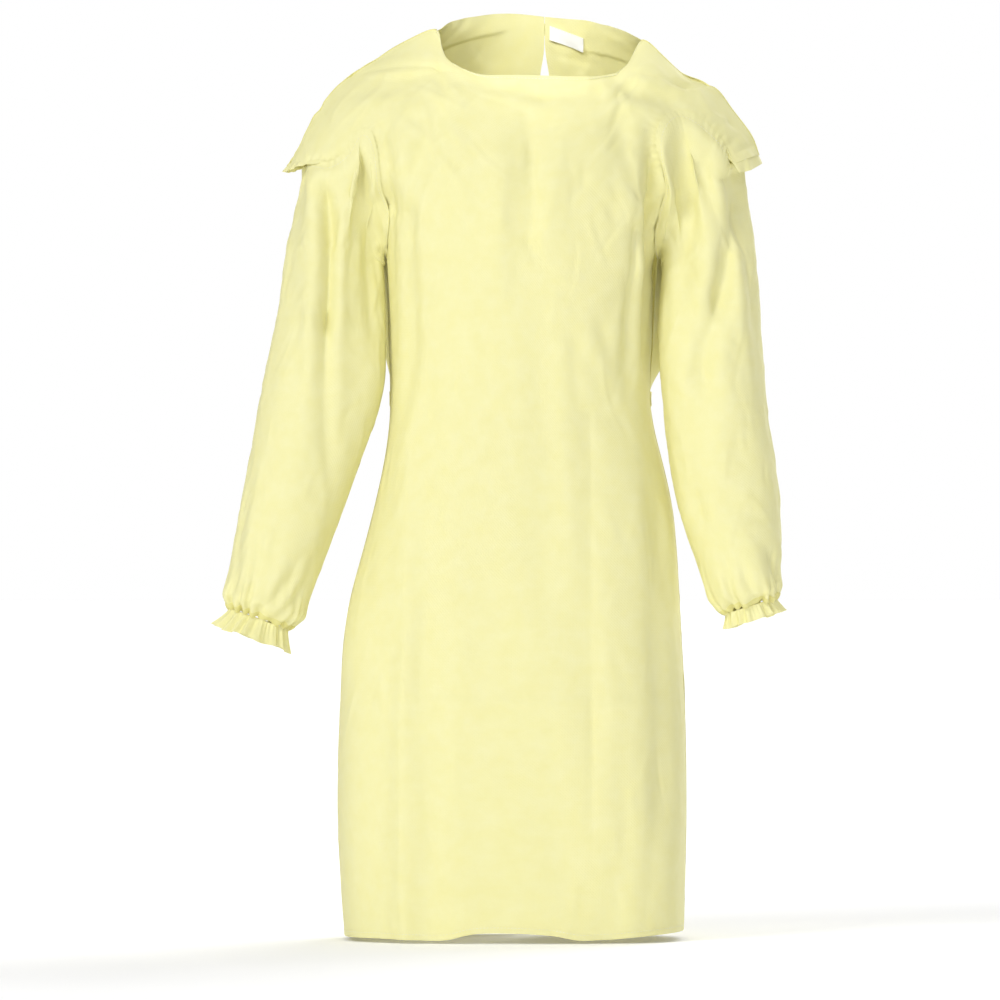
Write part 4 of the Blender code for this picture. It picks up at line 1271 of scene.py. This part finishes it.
# %% [markdown]
# ## Shoulder flanges
#
# At the shoulder's tip the seam's edges aren't turned in: a short strip of both sheets stands out over
# the sleeve's head and hangs a little. It tapers away on the front and on the back.

# %% Shoulder flanges
#   columns of the sleeve's ring, and how far the strip hangs there
FLANGE = {
    "l": ((11.5, 0.5), (13, 5), (14.5, 9), (16, 9), (17.5, 9), (20, 5), (23, 0.5)),
    "r": ((12.5, 0.5), (14, 8), (15, 11), (16, 11), (17.5, 10), (20, 6), (23, 0.5)),
}
FLANGE_OUT = {"l": 0.45, "r": 0.12}  # how far it leans out from hanging straight
FLANGE_ROOT = 4  # how far above the seam it starts
FLANGE_STEPS, FLANGE_ROWS = 64, 6


def shoulder_flange(side):
    ring, normals = armhole_ring(side)
    knots = np.array(FLANGE[side], float)
    at = np.linspace(knots[0, 0], knots[-1, 0], FLANGE_STEPS)
    count = np.arange(len(ring))
    path, facing = read_at(at, count, ring), unit(read_at(at, count, normals))
    hang = unit(np.array([OUT[side] * FLANGE_OUT[side], 0, -1.0]) + facing * 0.25)
    long = np.interp(at, *knots.T)
    down = np.linspace(0, 1, FLANGE_ROWS)[:, None, None]
    wave = np.sin(at * 5.1 + 1.3 * np.sin(at * 1.7))
    rows = path - facing * 0.4 + hang * ((long[:, None] + FLANGE_ROOT) * down - FLANGE_ROOT)
    rows = rows + facing * (1.1 * wave[:, None] * down * (long / long.max())[:, None])
    ways = grid_normals(rows)
    ways = ways if np.einsum("ijk,jk->", ways, facing) > 0 else -ways
    return rows, ways


for side in "lr":
    rows, ways = shoulder_flange(side)
    made = kept(shell(f"shoulder_flange_{side}", rows, ways))
    declare_sheet(made, rows.transpose(1, 0, 2))

# %% [markdown]
# ## Cuffs
#
# Below the elastic the sleeve's end opens into a frill about 20 mm long. Its pleats are the sleeve's own,
# so they start where the sleeve's pleats end. The band itself is narrow and tightly puckered.

# %% Cuffs
CUFF_COLUMNS, CUFF_ROWS = 256, 16
CUFF_WAVE = 3.1  # how far the frill swings in and out
BAND = (9.0, 2.0)  # width and height of the puckered band over the elastic


def cuff_frame(side, turn):
    """The last ring of the sleeve, with the ways out and down from it."""
    last = SLEEVE_SECTIONS[side][-1]
    ring = sleeve_ring(last, turn)
    outer, inner = np.array([last[0], 0, last[1]]), np.array([last[2], 0, last[3]])
    down = unit(np.cross(inner - outer, [0, 1, 0]))
    return ring, unit(ring - ring.mean(0)), down if down[2] < 0 else -down


def cuff_rows(side):
    turn = np.linspace(0, 2 * np.pi, CUFF_COLUMNS, endpoint=False)
    ring, radial, down = cuff_frame(side, turn)
    length, flare, back = CUFF_SHAPE[side]
    wave = pleats(turn, side)
    uneven = 1 + wander(turn, 31 if side == "l" else 32, 6, 0.07)
    small = 0.35 * np.sin(turn * GATHERS * 2.6 + wander(turn, 41, 5, 1.5))
    rows = []
    for share in np.linspace(0, 1, CUFF_ROWS):
        swing = (wave + small * (1 - share)) * CUFF_WAVE * (0.4 + 0.6 * share)
        roll = 1.5 * np.sin(turn * 4 + 2.0 * share) * share**2
        out = radial * (flare * share**1.3 + swing + roll)[:, None]
        drop = down * (1.5 * SEAM_GAP + share * length * uneven)[:, None]
        rows.append(ring + out + drop + np.array([0, back, 0]) * share)
    return np.array(rows)


for side in "lr":
    grid = cuff_rows(side)
    made = shell(f"cuff_{side}_shell", grid, tube_normals(grid), around=True)
    declare_sheet(kept(made, "cuff_" + side), closed(grid))

# %% [markdown]
# ## Seams, hems and stitches
#
# Panels this thin are sewn edge to edge with a narrow overlocked seam, which stands up as a low welt, and
# their free edges are turned over once. A welt is a small rounded section swept along the seam. A turned
# hem is a strip that lies on the panel's outer face. The stitches are short lengths of thread laid along
# both.

# %% Welts, hems and thread
WELT = (2.6, 1.1)  # width and height of a seam welt
HEM = (9.0, 0.55)  # width and height of a turned hem
FRONT_NECK_HEM, BACK_NECK_HEM = (6.0, 0.7), (6.0, 0.6)
HEM_ROWS = 5
STITCH = {"pitch": 4.2, "length": 2.9, "radius": 0.24}


def swept(name, path, normals, width, height, around=False):
    """A low rounded welt along a path, its flat side on the cloth."""
    path, normals = np.asarray(path), unit(np.asarray(normals))
    if around:
        ways = unit(np.roll(path, -1, 0) - np.roll(path, 1, 0))
    else:
        ways = unit(np.gradient(path, axis=0))
    across = unit(np.cross(ways, normals))
    angles = np.linspace(0, 2 * np.pi, 10, endpoint=False)
    x, y = np.cos(angles) * width / 2, np.sin(angles) * height / 2
    rings = path[:, None] + across[:, None] * x[None, :, None]
    rings = rings + normals[:, None] * y[None, :, None]
    if around:
        rings = np.concatenate([rings, rings[:1]])
    count = len(angles)
    made = add_mesh(name, rings.reshape(-1, 3), grid_faces(len(rings), count, True))
    if not around:
        close_ends(made, len(rings), count)
    outward_faces(made)
    return made


def close_ends(obj, rings, count):
    bm = bmesh.new()
    bm.from_mesh(obj.data)
    bm.verts.ensure_lookup_table()
    for base in (0, (rings - 1) * count):
        bm.faces.new([bm.verts[base + k] for k in range(count)])
    bm.to_mesh(obj.data)
    bm.free()


def outward_faces(obj):
    bm = bmesh.new()
    bm.from_mesh(obj.data)
    bmesh.ops.remove_doubles(bm, verts=bm.verts, dist=1e-6)
    bmesh.ops.recalc_face_normals(bm, faces=bm.faces)
    bm.to_mesh(obj.data)
    bm.free()
    obj.data.shade_smooth()


def stitched(name, lines):
    """Lengths of thread along lines of (path, normals), each a small six-sided capsule."""
    points, faces = [], []
    for path, normals in lines:
        path, normals = np.asarray(path), unit(np.asarray(normals))
        run = added_up(steps_of(path))
        pitch = STITCH["pitch"]
        for start in np.arange(pitch / 2, run[-1] - pitch, pitch):
            at = start + STITCH["length"] * np.array([0.0, 0.12, 0.5, 0.88, 1.0])
            centre, up = read_at(at, run, path), unit(read_at(at, run, normals))
            across = unit(np.cross(unit(centre[-1] - centre[0]), up))
            size = STITCH["radius"] * np.array([0.25, 0.9, 1.0, 0.9, 0.25])
            rise = STITCH["radius"] * np.array([-0.9, 0.2, 0.7, 0.2, -0.9])
            angles = np.arange(6) * math.pi / 3
            aside, above = (way(angles)[None, :, None] * size[:, None, None] for way in (np.cos, np.sin))
            rings = (centre + up * rise[:, None])[:, None] + across[:, None] * aside + up[:, None] * above
            faces.append(grid_faces(5, 6, True, len(points) * 5 * 6))
            points.append(rings.reshape(-1, 3))
    return add_mesh(name, np.concatenate(points), np.concatenate(faces))


def hem(name, key, edge, width, height, columns=slice(None)):
    """A turned hem: a strip beside a panel's edge, laid on its outer face. Its thread line is kept."""
    grid, normals = (a[:, columns] for a in fine[key])
    if edge in ("left", "right"):
        grid, normals = grid.swapaxes(0, 1), normals.swapaxes(0, 1)
    if edge in ("top", "right"):
        grid, normals = grid[::-1], normals[::-1]
    run = run_down(grid)
    lines, ups = [], []
    for share in np.linspace(0, 1, HEM_ROWS):
        line, up = (
            np.array([read_at(share * width, run[:, j], a[:, j]) for j in range(a.shape[1])])
            for a in (grid, normals)
        )
        high = height * (1 - (2 * share - 1) ** 4)
        lines.append(line + unit(up) * (0.05 + high))
        ups.append(unit(up))
    made = kept(shell(name, np.array(lines), np.array(ups), height * 0.9))
    size, area = flat_size(np.array(lines))
    size = tuple(round(max(s, LEAST_SIDE), 4) for s in size)
    thread_lines.append((lines[-2], ups[-2]))


thread_lines = []
hem("front_hem", "front", "bottom", *HEM)
first, last = SHOULDER_COLUMNS, SHOULDER_COLUMNS + NECK_COLUMNS["front"]
neck = slice(first * FINE["front"][1], last * FINE["front"][1] + 1)
hem("front_neck_hem", "front", "top", *FRONT_NECK_HEM, neck)
for side in "lr":
    key = "back_" + side
    hem(f"back_hem_{side}", key, "bottom", *HEM)
    hem(f"back_opening_hem_{side}", key, "right" if side == "l" else "left", *HEM)
    span = NECK_COLUMNS["back"] * FINE[key][1] + 1
    neck = slice(-span, None) if side == "l" else slice(0, span)
    hem(f"back_neck_hem_{side}", key, "top", *BACK_NECK_HEM, neck)
print("stitch lines on the hems:", len(thread_lines))

# %% [markdown]
# The seams join the panels' edges: one along each shoulder, one down each side and one round each
# armhole.

# %% Seams
for side in "lr":
    front, front_up = fine["front"]
    back, back_up = fine["back_" + side]
    column = 0 if side == "l" else -1
    low = LOWER_ROWS * FINE["front"][0] + 1
    path = (front[:low, column] + back[:low, column]) / 2
    up = unit(front_up[:low, column] + back_up[:low, column])
    kept(swept(f"side_seam_{side}", path + up * 0.1, up, *WELT))
    count = SHOULDER_COLUMNS * FINE["front"][1] + 1
    edges = (a[-1, :count] if side == "l" else a[-1, -count:][::-1] for a in (front, front_up))
    kept(swept(f"shoulder_seam_{side}", *edges, *WELT))
    sleeve, sleeve_up = fine["sleeve_" + side]
    thread_lines.append((sleeve[3] + sleeve_up[3] * 0.1, sleeve_up[3]))
    wrist, wrist_up = sleeve[-3], sleeve_up[-3]
    band = swept(f"cuff_band_{side}", wrist - wrist_up * 0.2, wrist_up, *BAND, around=True)
    kept(band)
    thread_lines.append((wrist + wrist_up * 0.3, wrist_up))
kept(stitched("stitches", thread_lines))

# %% [markdown]
# ## Ties
#
# Two pairs of ties close the gown behind. A tie is a strip of the same sheet, folded over and stitched
# along both edges. It lies on the back panel from where it is sewn to the knot, and its free end hangs
# below. A strip like this never lies flat, so it gets a slow twist and small ripples along its length.

# %% Ties
TIE_SHEET = 0.7  # two layers of cloth
TIE_COLUMNS = 7
TIE_STEPS = {"waist": 100, "neck": 24}
END_STEPS = 90
TIE_SEED = {"waist": 50, "neck": 60}


def back_row(side, z):
    """A back panel's outer face at height z, outwards from the slit: points, normals and distances."""
    grid, normals = fine["back_" + side]
    if side == "l":
        grid, normals = grid[:, ::-1], normals[:, ::-1]
    level = np.interp(z, grid[:, 0, 2], np.arange(len(grid)))
    low = min(int(level), len(grid) - 2)
    share = level - low
    row = grid[low] * (1 - share) + grid[low + 1] * share
    row_normals = unit(normals[low] * (1 - share) + normals[low + 1] * share)
    return row, row_normals, added_up(steps_of(row))


def back_points(side, z, at):
    """Points on a back panel at height z and at distances from its centre edge, with their normals."""
    row, normals, run = back_row(side, z)
    return read_at(at, run, row), unit(read_at(at, run, normals))


def ribbon(name, near, far, facing, seed, ripple=0.7):
    """A rippled strip with a slightly crowned face between two edge lines. Gives its stitch lines."""
    rng = np.random.default_rng(seed)
    near, far, facing = (np.asarray(a, float) for a in (near, far, facing))
    run = added_up(steps_of((near + far) / 2))
    phase = rng.uniform(0, 6.28, 4)
    share = np.linspace(0, 1, TIE_COLUMNS)
    to_far = share[None, :, None]
    rows = near[:, None] * (1 - to_far) + far[:, None] * to_far
    up = facing[:, None] * np.ones((1, TIE_COLUMNS, 1))
    x = 2 * share[None] - 1
    down = run[:, None]
    wave = np.sin(down / 17 + phase[0]) * x + 0.6 * np.sin(down / 9 + phase[1] + x)
    wave = wave + 0.5 * np.sin(down / 5.2 + phase[2]) * x**2
    lift = ripple * (wave + 1.7) + 0.3 * (1 - x**4)
    ends = np.minimum(1, np.minimum(run, run[-1] - run)[:, None] / 12) * 0.75 + 0.25
    grid = rows + up * (TIE_SHEET + lift * ends)[..., None]
    made = kept(shell(name, grid, up, TIE_SHEET), name.removesuffix("_strip"))
    return [(grid[:, column] + up[:, 1] * 0.05, up[:, 1]) for column in (1, -2)]


def back_centre(kind, z):
    """A knot's half sizes and its centre, just off the back panels."""
    half = np.array(KNOT[kind], float)
    middle = np.mean([back_row(s, z)[0][0] for s in "lr"], axis=0)
    return half, np.array([CENTRE_BACK, middle[1] + 2 * TIE_OFF + half[1], z])


def tie(kind, side, z, sewn_at, half, centre, seed):
    """The strip from where it is sewn on to the knot."""
    width = TIE_WIDTH[kind]
    far = back_row(side, z)[2][-1] - TIE_ROOT if sewn_at is None else sewn_at
    at = np.linspace(far, half[0] + 3, TIE_STEPS[kind])
    stop = centre + [OUT[side] * half[0] * 0.7, -half[1] * 0.3, 0]
    into_knot = np.linspace(0, 1, 7)[1:, None]
    edges = []
    for lift in (-width / 2, width / 2):
        points, normals = back_points(side, z + lift, at)
        last = points[-1] * (1 - into_knot) + (stop + [0, 0, lift * 0.45]) * into_knot
        edges.append(np.concatenate([points + normals * TIE_OFF, last]))
    facing = np.concatenate([normals, np.repeat([[0, 1.0, 0]], len(into_knot), axis=0)])
    return ribbon(f"{kind}_tie_{side}_strip", *edges, unit(facing), seed)


def tie_end(kind, side, hang, half, centre, seed):
    """The free end that hangs below the knot."""
    top = centre[2] - half[2] * 0.6
    near, far, facing = [], [], []
    sway = np.random.default_rng(seed + 5).uniform(0, 6.28)
    for share in np.linspace(0, 1, END_STEPS):
        aside = 3 + 24 * share**1.2 + 3.0 * math.sin(5 * share + sway) * share
        both = [aside, aside + TIE_WIDTH[kind] * 0.8]
        (a, b), (n, m) = back_points(side, top - hang * share, both)
        off = 2 * TIE_OFF + 2.0 * math.sin(math.pi * share)
        near.append(a + n * off)
        far.append(b + m * off)
        facing.append(unit(n + m))
    return ribbon(f"{kind}_end_{side}_strip", near, far, facing, seed + 20, 0.9)


tie_threads = []
for kind, z, sewn_at in (("waist", WAIST_Z, None), ("neck", NECK_TIE_Z, NECK_TIE_RUN)):
    half, centre = back_centre(kind, z)
    for side, hang in zip("lr", TIE_END[kind]):
        seed = TIE_SEED[kind] + (side == "r")
        tie_threads += tie(kind, side, z, sewn_at, half, centre, seed)
        tie_threads += tie_end(kind, side, hang, half, centre, seed)
print("stitch lines on the ties:", len(tie_threads))

# %% [markdown]
# ## Knots
#
# The ties meet in a flat knot. A knot in a soft strip is the strip itself, wrapped over and under, so it
# is built as a wide ribbon that runs along a closed three-lobed curve, squeezed into the space that the
# knot's solid holds.

# %% Knots
KNOT_STEPS = 160
KNOT_STRIP = (0.36, 0.2)  # half width and half thickness of the strip, against the knot's half size


def flat_knot(kind, height):
    half, centre = back_centre(kind, height)
    turn = np.linspace(0, 2 * np.pi, KNOT_STEPS, endpoint=False)
    x = np.sin(turn) + 1.7 * np.sin(2 * turn)
    y = -np.sin(3 * turn)
    z = np.cos(turn) - 1.7 * np.cos(2 * turn)
    path = np.stack([x / 2.6, y * 0.42, z / 2.6], -1)
    ways = unit(np.roll(path, -1, 0) - np.roll(path, 1, 0))
    face = unit(np.stack([path[:, 0] * 0.3, np.ones(len(turn)), path[:, 2] * 0.3], -1))
    across = unit(np.cross(ways, face))
    up = unit(np.cross(across, ways))
    angles = np.linspace(0, 2 * np.pi, 14, endpoint=False)
    cos, sin = np.cos(angles), np.sin(angles)
    aside = np.sign(cos) * np.abs(cos) ** 0.7 * KNOT_STRIP[0]
    above = sin * KNOT_STRIP[1] * (1 - 0.25 * cos**2)
    crumple = 1 + 0.14 * np.sin(turn * 11 + 1)[:, None] * np.sin(angles * 3)[None]
    rings = path[:, None] + across[:, None] * (aside[None] * crumple)[..., None]
    rings = rings + up[:, None] * (above[None] * crumple)[..., None]
    low, high = rings.min((0, 1)), rings.max((0, 1))
    rings = ((rings - (low + high) / 2) / ((high - low) / 2)) * half + centre
    count = len(angles)
    last = (len(turn) - 1) * count
    j = np.arange(count)
    k = (j + 1) % count
    join = np.stack([last + j, last + k, k, j], -1)
    faces = np.concatenate([grid_faces(len(turn), count, True), join])
    made = add_mesh(f"{kind}_knot_wrap", rings.reshape(-1, 3), faces)
    outward_faces(made)
    kept(made, f"{kind}_knot")


flat_knot("waist", WAIST_Z)
flat_knot("neck", NECK_TIE_Z)
kept(stitched("tie_stitches", tie_threads))

# %% [markdown]
# ## The tag
#
# A small blank white tape is sewn into the back neck by its upper edge. It could be a flat plate, but a
# tape this short is never flat, so it is laid on the inside of the panel and its free corners curl
# inwards.

# %% Tag
TAG_SHEET = 0.35
TAG_GRID = (22, 44)


def neck_tag():
    v, u = np.meshgrid(*(np.linspace(0, 1, count) for count in TAG_GRID), indexing="ij")
    rows, facing = np.empty((*TAG_GRID, 3)), np.empty((*TAG_GRID, 3))
    for place in np.ndindex(*TAG_GRID):
        along_neck = LABEL["width"] * u[place]
        z = LABEL["top"] - LABEL["height"] * v[place] - LABEL["fall"] * along_neck
        point, normal = back_points("r", z, [LABEL["in"] + along_neck])
        rows[place], facing[place] = point[0], -normal[0]
    curl = 1.8 * v**2 * (0.5 + 0.5 * np.cos(2 * np.pi * u)) + 0.5 * v * np.sin(7 * u)
    grid = rows + facing * (WALL + LABEL["off"] + TAG_SHEET + np.maximum(curl, 0))[..., None]
    made = kept(shell("neck_tag", grid, facing, TAG_SHEET), "neck_label", slot="tag")
    return grid[1] + facing[1] * 0.05, facing[1]


kept(stitched("tag_stitches", [neck_tag()]), slot="tag")

# %% [markdown]
# ## The sheet's finish
#
# The cloth is spunbonded polypropylene: endless fine filaments, laid down at random and welded to each
# other by a roller with a grid of small points. It is dyed yellow in the melt. The eye gets three things
# from it: a soft, slightly waxy sheen on the ridges, a fine regular grid of pressed points, and a faint
# cloudiness where the filaments lie thicker or thinner, which is also where less or more light comes
# through.

# %% Colours and nodes


def colour(text, alpha=1.0):
    """An sRGB hex colour as linear light."""
    parts = [int(text[k : k + 2], 16) / 255 for k in (1, 3, 5)]
    return tuple(c / 12.92 if c <= 0.04045 else ((c + 0.055) / 1.055) ** 2.4 for c in parts) + (alpha,)


def empty_material(name):
    material = bpy.data.materials.new(name)
    material.use_nodes = True
    material.node_tree.nodes.clear()
    return material


def node(tree, kind, links=None, **settings):
    """Adds a node. `links` maps an input's name or number to another node's output or to a value."""
    made = tree.nodes.new(kind)
    for name, value in settings.items():
        setattr(made, name, value)
    for name, value in (links or {}).items():
        if isinstance(value, bpy.types.NodeSocket):
            tree.links.new(value, made.inputs[name])
        else:
            made.inputs[name].default_value = value
    return made


def mixed(tree, share, low, high):
    """A colour between two hex colours."""
    ends = {0: share, 6: colour(low), 7: colour(high)}
    return node(tree, "ShaderNodeMix", ends, data_type="RGBA").outputs[2]


# %% [markdown]
# The bond points are 1.2 mm apart on the real sheet. They are drawn at 2.6 mm, because finer ones would
# not show in the picture.

# %% Spunbonded polypropylene
BOND_PITCH = 2.6e-3  # metres
CLOUD_SIZE = 22e-3  # a patch of thicker fibres
FIBRE_SIZE = 0.9e-3
FIBRE_HEIGHT = 2.5e-4
THROUGH = 0.15  # share of the light that comes through each face of the thin wall
THREAD_SCALE = 320.0  # bands a metre, which gives threads about 1 mm apart


def spunbond(name, light, deep, rough=0.62):
    material = empty_material(name)
    tree = material.node_tree
    place = node(tree, "ShaderNodeUVMap", uv_map="flat").outputs[0]
    cloud = node(tree, "ShaderNodeTexNoise", {
        "Vector": place, "Scale": 1 / CLOUD_SIZE, "Detail": 4.0, "Roughness": 0.6,
    })
    fibre = node(tree, "ShaderNodeTexNoise", {
        "Vector": place, "Scale": 1 / FIBRE_SIZE, "Detail": 3.0, "Distortion": 1.2,
    })
    turned = node(tree, "ShaderNodeMapping", {
        "Vector": place, "Rotation": (0, 0, math.radians(45)), "Scale": (1 / BOND_PITCH,) * 3,
    })
    points = node(tree, "ShaderNodeTexVoronoi", {
        "Vector": turned.outputs[0], "Scale": 1.0, "Randomness": 0.12,
    }, voronoi_dimensions="2D")
    point = node(tree, "ShaderNodeMapRange", {
        "Value": points.outputs["Distance"], "From Min": 0.16, "From Max": 0.34,
    })
    amount = node(tree, "ShaderNodeMapRange", {
        "Value": cloud.outputs["Fac"], "From Min": 0.1, "From Max": 0.9,
    })
    tone = mixed(tree, amount.outputs[0], deep, light)
    fine_bump = node(tree, "ShaderNodeBump", {
        "Strength": 0.22, "Distance": FIBRE_HEIGHT, "Height": fibre.outputs["Fac"],
    })
    bond_bump = node(tree, "ShaderNodeBump", {
        "Strength": 0.35, "Distance": FIBRE_HEIGHT, "Height": point.outputs[0],
        "Normal": fine_bump.outputs[0],
    })
    shine = node(tree, "ShaderNodeMapRange", {
        "Value": fibre.outputs["Fac"], "To Min": rough - 0.08, "To Max": rough + 0.1,
    })
    surface = node(tree, "ShaderNodeBsdfPrincipled", {
        "Base Color": tone, "Roughness": shine.outputs[0], "Normal": bond_bump.outputs[0],
        "Sheen Weight": 0.12, "Sheen Roughness": 0.5, "Sheen Tint": colour("#FFFDE6"),
        "Specular IOR Level": 0.4, "IOR": 1.49,
    })
    through = node(tree, "ShaderNodeBsdfTranslucent", {"Color": tone, "Normal": bond_bump.outputs[0]})
    both = node(tree, "ShaderNodeMixShader", {
        0: THROUGH, 1: surface.outputs[0], 2: through.outputs[0],
    })
    node(tree, "ShaderNodeOutputMaterial", {"Surface": both.outputs[0]})
    return material


def woven_tape(name, base):
    """Fine polyester, woven or twisted: white or dyed, with a low sheen and a weave of its own."""
    material = empty_material(name)
    tree = material.node_tree
    place = node(tree, "ShaderNodeTexCoord").outputs["Object"]
    threads = {"Vector": place, "Scale": THREAD_SCALE, "Distortion": 0.6}
    warp, weft = (node(tree, "ShaderNodeTexWave", threads, bands_direction=way) for way in "XZ")
    weave = node(tree, "ShaderNodeMath", {
        0: warp.outputs["Fac"], 1: weft.outputs["Fac"],
    }, operation="MAXIMUM")
    bump = node(tree, "ShaderNodeBump", {
        "Strength": 0.3, "Distance": 2e-4, "Height": weave.outputs[0],
    })
    noise = node(tree, "ShaderNodeTexNoise", {"Vector": place, "Scale": 60.0, "Detail": 2.0})
    surface = node(tree, "ShaderNodeBsdfPrincipled", {
        "Base Color": mixed(tree, noise.outputs["Fac"], base, "#FFFFFF"), "Roughness": 0.55,
        "Normal": bump.outputs[0], "Sheen Weight": 0.1,
    })
    node(tree, "ShaderNodeOutputMaterial", {"Surface": surface.outputs[0]})
    return material


cloth = spunbond("spunbonded_polypropylene", "#FBF8C3", "#F7F2AC")
seam_cloth = spunbond("spunbonded_polypropylene_seam", "#F6F1A8", "#E9E290", 0.68)
polyester_thread = woven_tape("polyester_thread", "#F1ECB0")
satin_tape = woven_tape("woven_satin_tape", "#F4F4F2")
for obj in bpy.data.objects:
    if obj.type != "MESH" or "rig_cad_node" in obj:
        continue
    if obj.name == "neck_tag":
        look = satin_tape
    elif "stitches" in obj.name:
        look = polyester_thread
    elif "seam" in obj.name or "band" in obj.name:
        look = seam_cloth
    else:
        look = cloth
    obj.data.materials.clear()
    obj.data.materials.append(look)
for name, obj in frame["nodes"].items():
    obj.data.materials.clear()
    obj.data.materials.append(satin_tape if name == "neck_label" else cloth)

# %% [markdown]
# ## Studio
#
# A near white floor, an even bright surround and four large soft lights give the flat, bright look of a
# catalogue picture, where shade lies only in the folds. The strongest stands behind and shines through
# the thin cloth, and the next comes from the front left, to draw the folds.

# %% Floor, light and camera
FLOOR_Z = -1.1212
CENTRE = (-0.0268, -0.5856)  # what the camera looks at, x and z
DISTANCE, FIELD = 12.0, 1.22
FILL = 0.2  # the white surround
#   where from, strength, spread in degrees
LIGHTS = {
    "key": ((-2.1, -2.7, 2.0), 1.25, 22),
    "front": ((0.1, -3.0, 1.0), 0.7, 40),
    "top": ((0.2, 0.3, 3.0), 0.85, 60),
    "back": ((1.3, 2.4, 1.3), 1.7, 40),
}
NECK_LAMP = {
    "place": (0.02, -0.75, 0.42), "at": (0.02, 0.06, -0.03), "power": 24.0, "cone": 17.0,
}
FLOOR_GLOW = 0.14  # the floor is lit from below, as a light table is
FLOOR_STEPS, FLOOR_RADII = 96, (0.4, 1.5, 5.0, 14.0, 40.0)
SENSOR = 36.0


def add_floor():
    turn = np.linspace(0, 2 * np.pi, FLOOR_STEPS, endpoint=False)
    low = np.full_like(turn, FLOOR_Z)
    rings = [np.stack([np.cos(turn) * r, np.sin(turn) * r, low], -1) for r in FLOOR_RADII]
    faces = [tuple(range(FLOOR_STEPS))]
    for ring in range(len(FLOOR_RADII) - 1):
        inner, outer = ring * FLOOR_STEPS, (ring + 1) * FLOOR_STEPS
        for j in range(FLOOR_STEPS):
            k = (j + 1) % FLOOR_STEPS
            faces.append((inner + j, outer + j, outer + k, inner + k))
    mesh = bpy.data.meshes.new("floor")
    mesh.from_pydata([tuple(p) for p in np.concatenate(rings)], [], faces)
    floor = placed("floor", mesh)
    material = empty_material("white_painted_floor")
    tree = material.node_tree
    place = node(tree, "ShaderNodeTexCoord").outputs["Object"]
    noise = node(tree, "ShaderNodeTexNoise", {"Vector": place, "Scale": 3.0, "Detail": 3.0})
    surface = node(tree, "ShaderNodeBsdfPrincipled", {
        "Base Color": mixed(tree, noise.outputs["Fac"], "#FBFBFB", "#FFFFFF"), "Roughness": 0.9,
        "Specular IOR Level": 0.1, "Emission Color": (1, 1, 1, 1), "Emission Strength": FLOOR_GLOW,
    })
    node(tree, "ShaderNodeOutputMaterial", {"Surface": surface.outputs[0]})
    mesh.materials.append(material)


def aimed(light, place, at):
    obj = placed(light.name, light)
    obj.location = place
    obj.rotation_euler = (Vector(at) - Vector(place)).to_track_quat("-Z", "Y").to_euler()


def add_sun(name, place, power, wide):
    """Soft even light from the way of `place`, as a large screen far off gives."""
    light = bpy.data.lights.new(name, "SUN")
    light.energy, light.angle = power, math.radians(wide)
    aimed(light, place, (0, 0, 0))


def add_neck_lamp():
    """A small lamp in front of the neck lights the inside of the back, which would otherwise lie in shade."""
    light = bpy.data.lights.new("neck", "SPOT")
    light.energy, light.spot_size = NECK_LAMP["power"], math.radians(NECK_LAMP["cone"])
    light.spot_blend, light.shadow_soft_size = 0.9, 0.12
    aimed(light, NECK_LAMP["place"], NECK_LAMP["at"])


add_neck_lamp()
add_floor()
world = bpy.data.worlds.new("studio")
bpy.context.scene.world = world
world.use_nodes = True
tree = world.node_tree
tree.nodes.clear()
fill = node(tree, "ShaderNodeBackground", {"Color": (1, 1, 1, 1), "Strength": FILL})
backdrop = node(tree, "ShaderNodeBackground", {"Color": (1, 1, 1, 1), "Strength": 1.0})
seen = node(tree, "ShaderNodeLightPath").outputs["Is Camera Ray"]
shown = node(tree, "ShaderNodeMixShader", {0: seen, 1: fill.outputs[0], 2: backdrop.outputs[0]})
node(tree, "ShaderNodeOutputWorld", {"Surface": shown.outputs[0]})
for name, (place, power, wide) in LIGHTS.items():
    add_sun(name, place, power, wide)
bpy.context.scene.view_settings.view_transform = "Standard"

camera_data = bpy.data.cameras.new("camera")
camera_data.sensor_width = SENSOR
camera_data.lens = SENSOR * DISTANCE / FIELD
camera = placed("camera", camera_data)
camera.location = (CENTRE[0], -DISTANCE, CENTRE[1])
camera.rotation_euler = (math.radians(90), 0, 0)
camera_data.clip_end = 100.0
bpy.context.scene.camera = camera
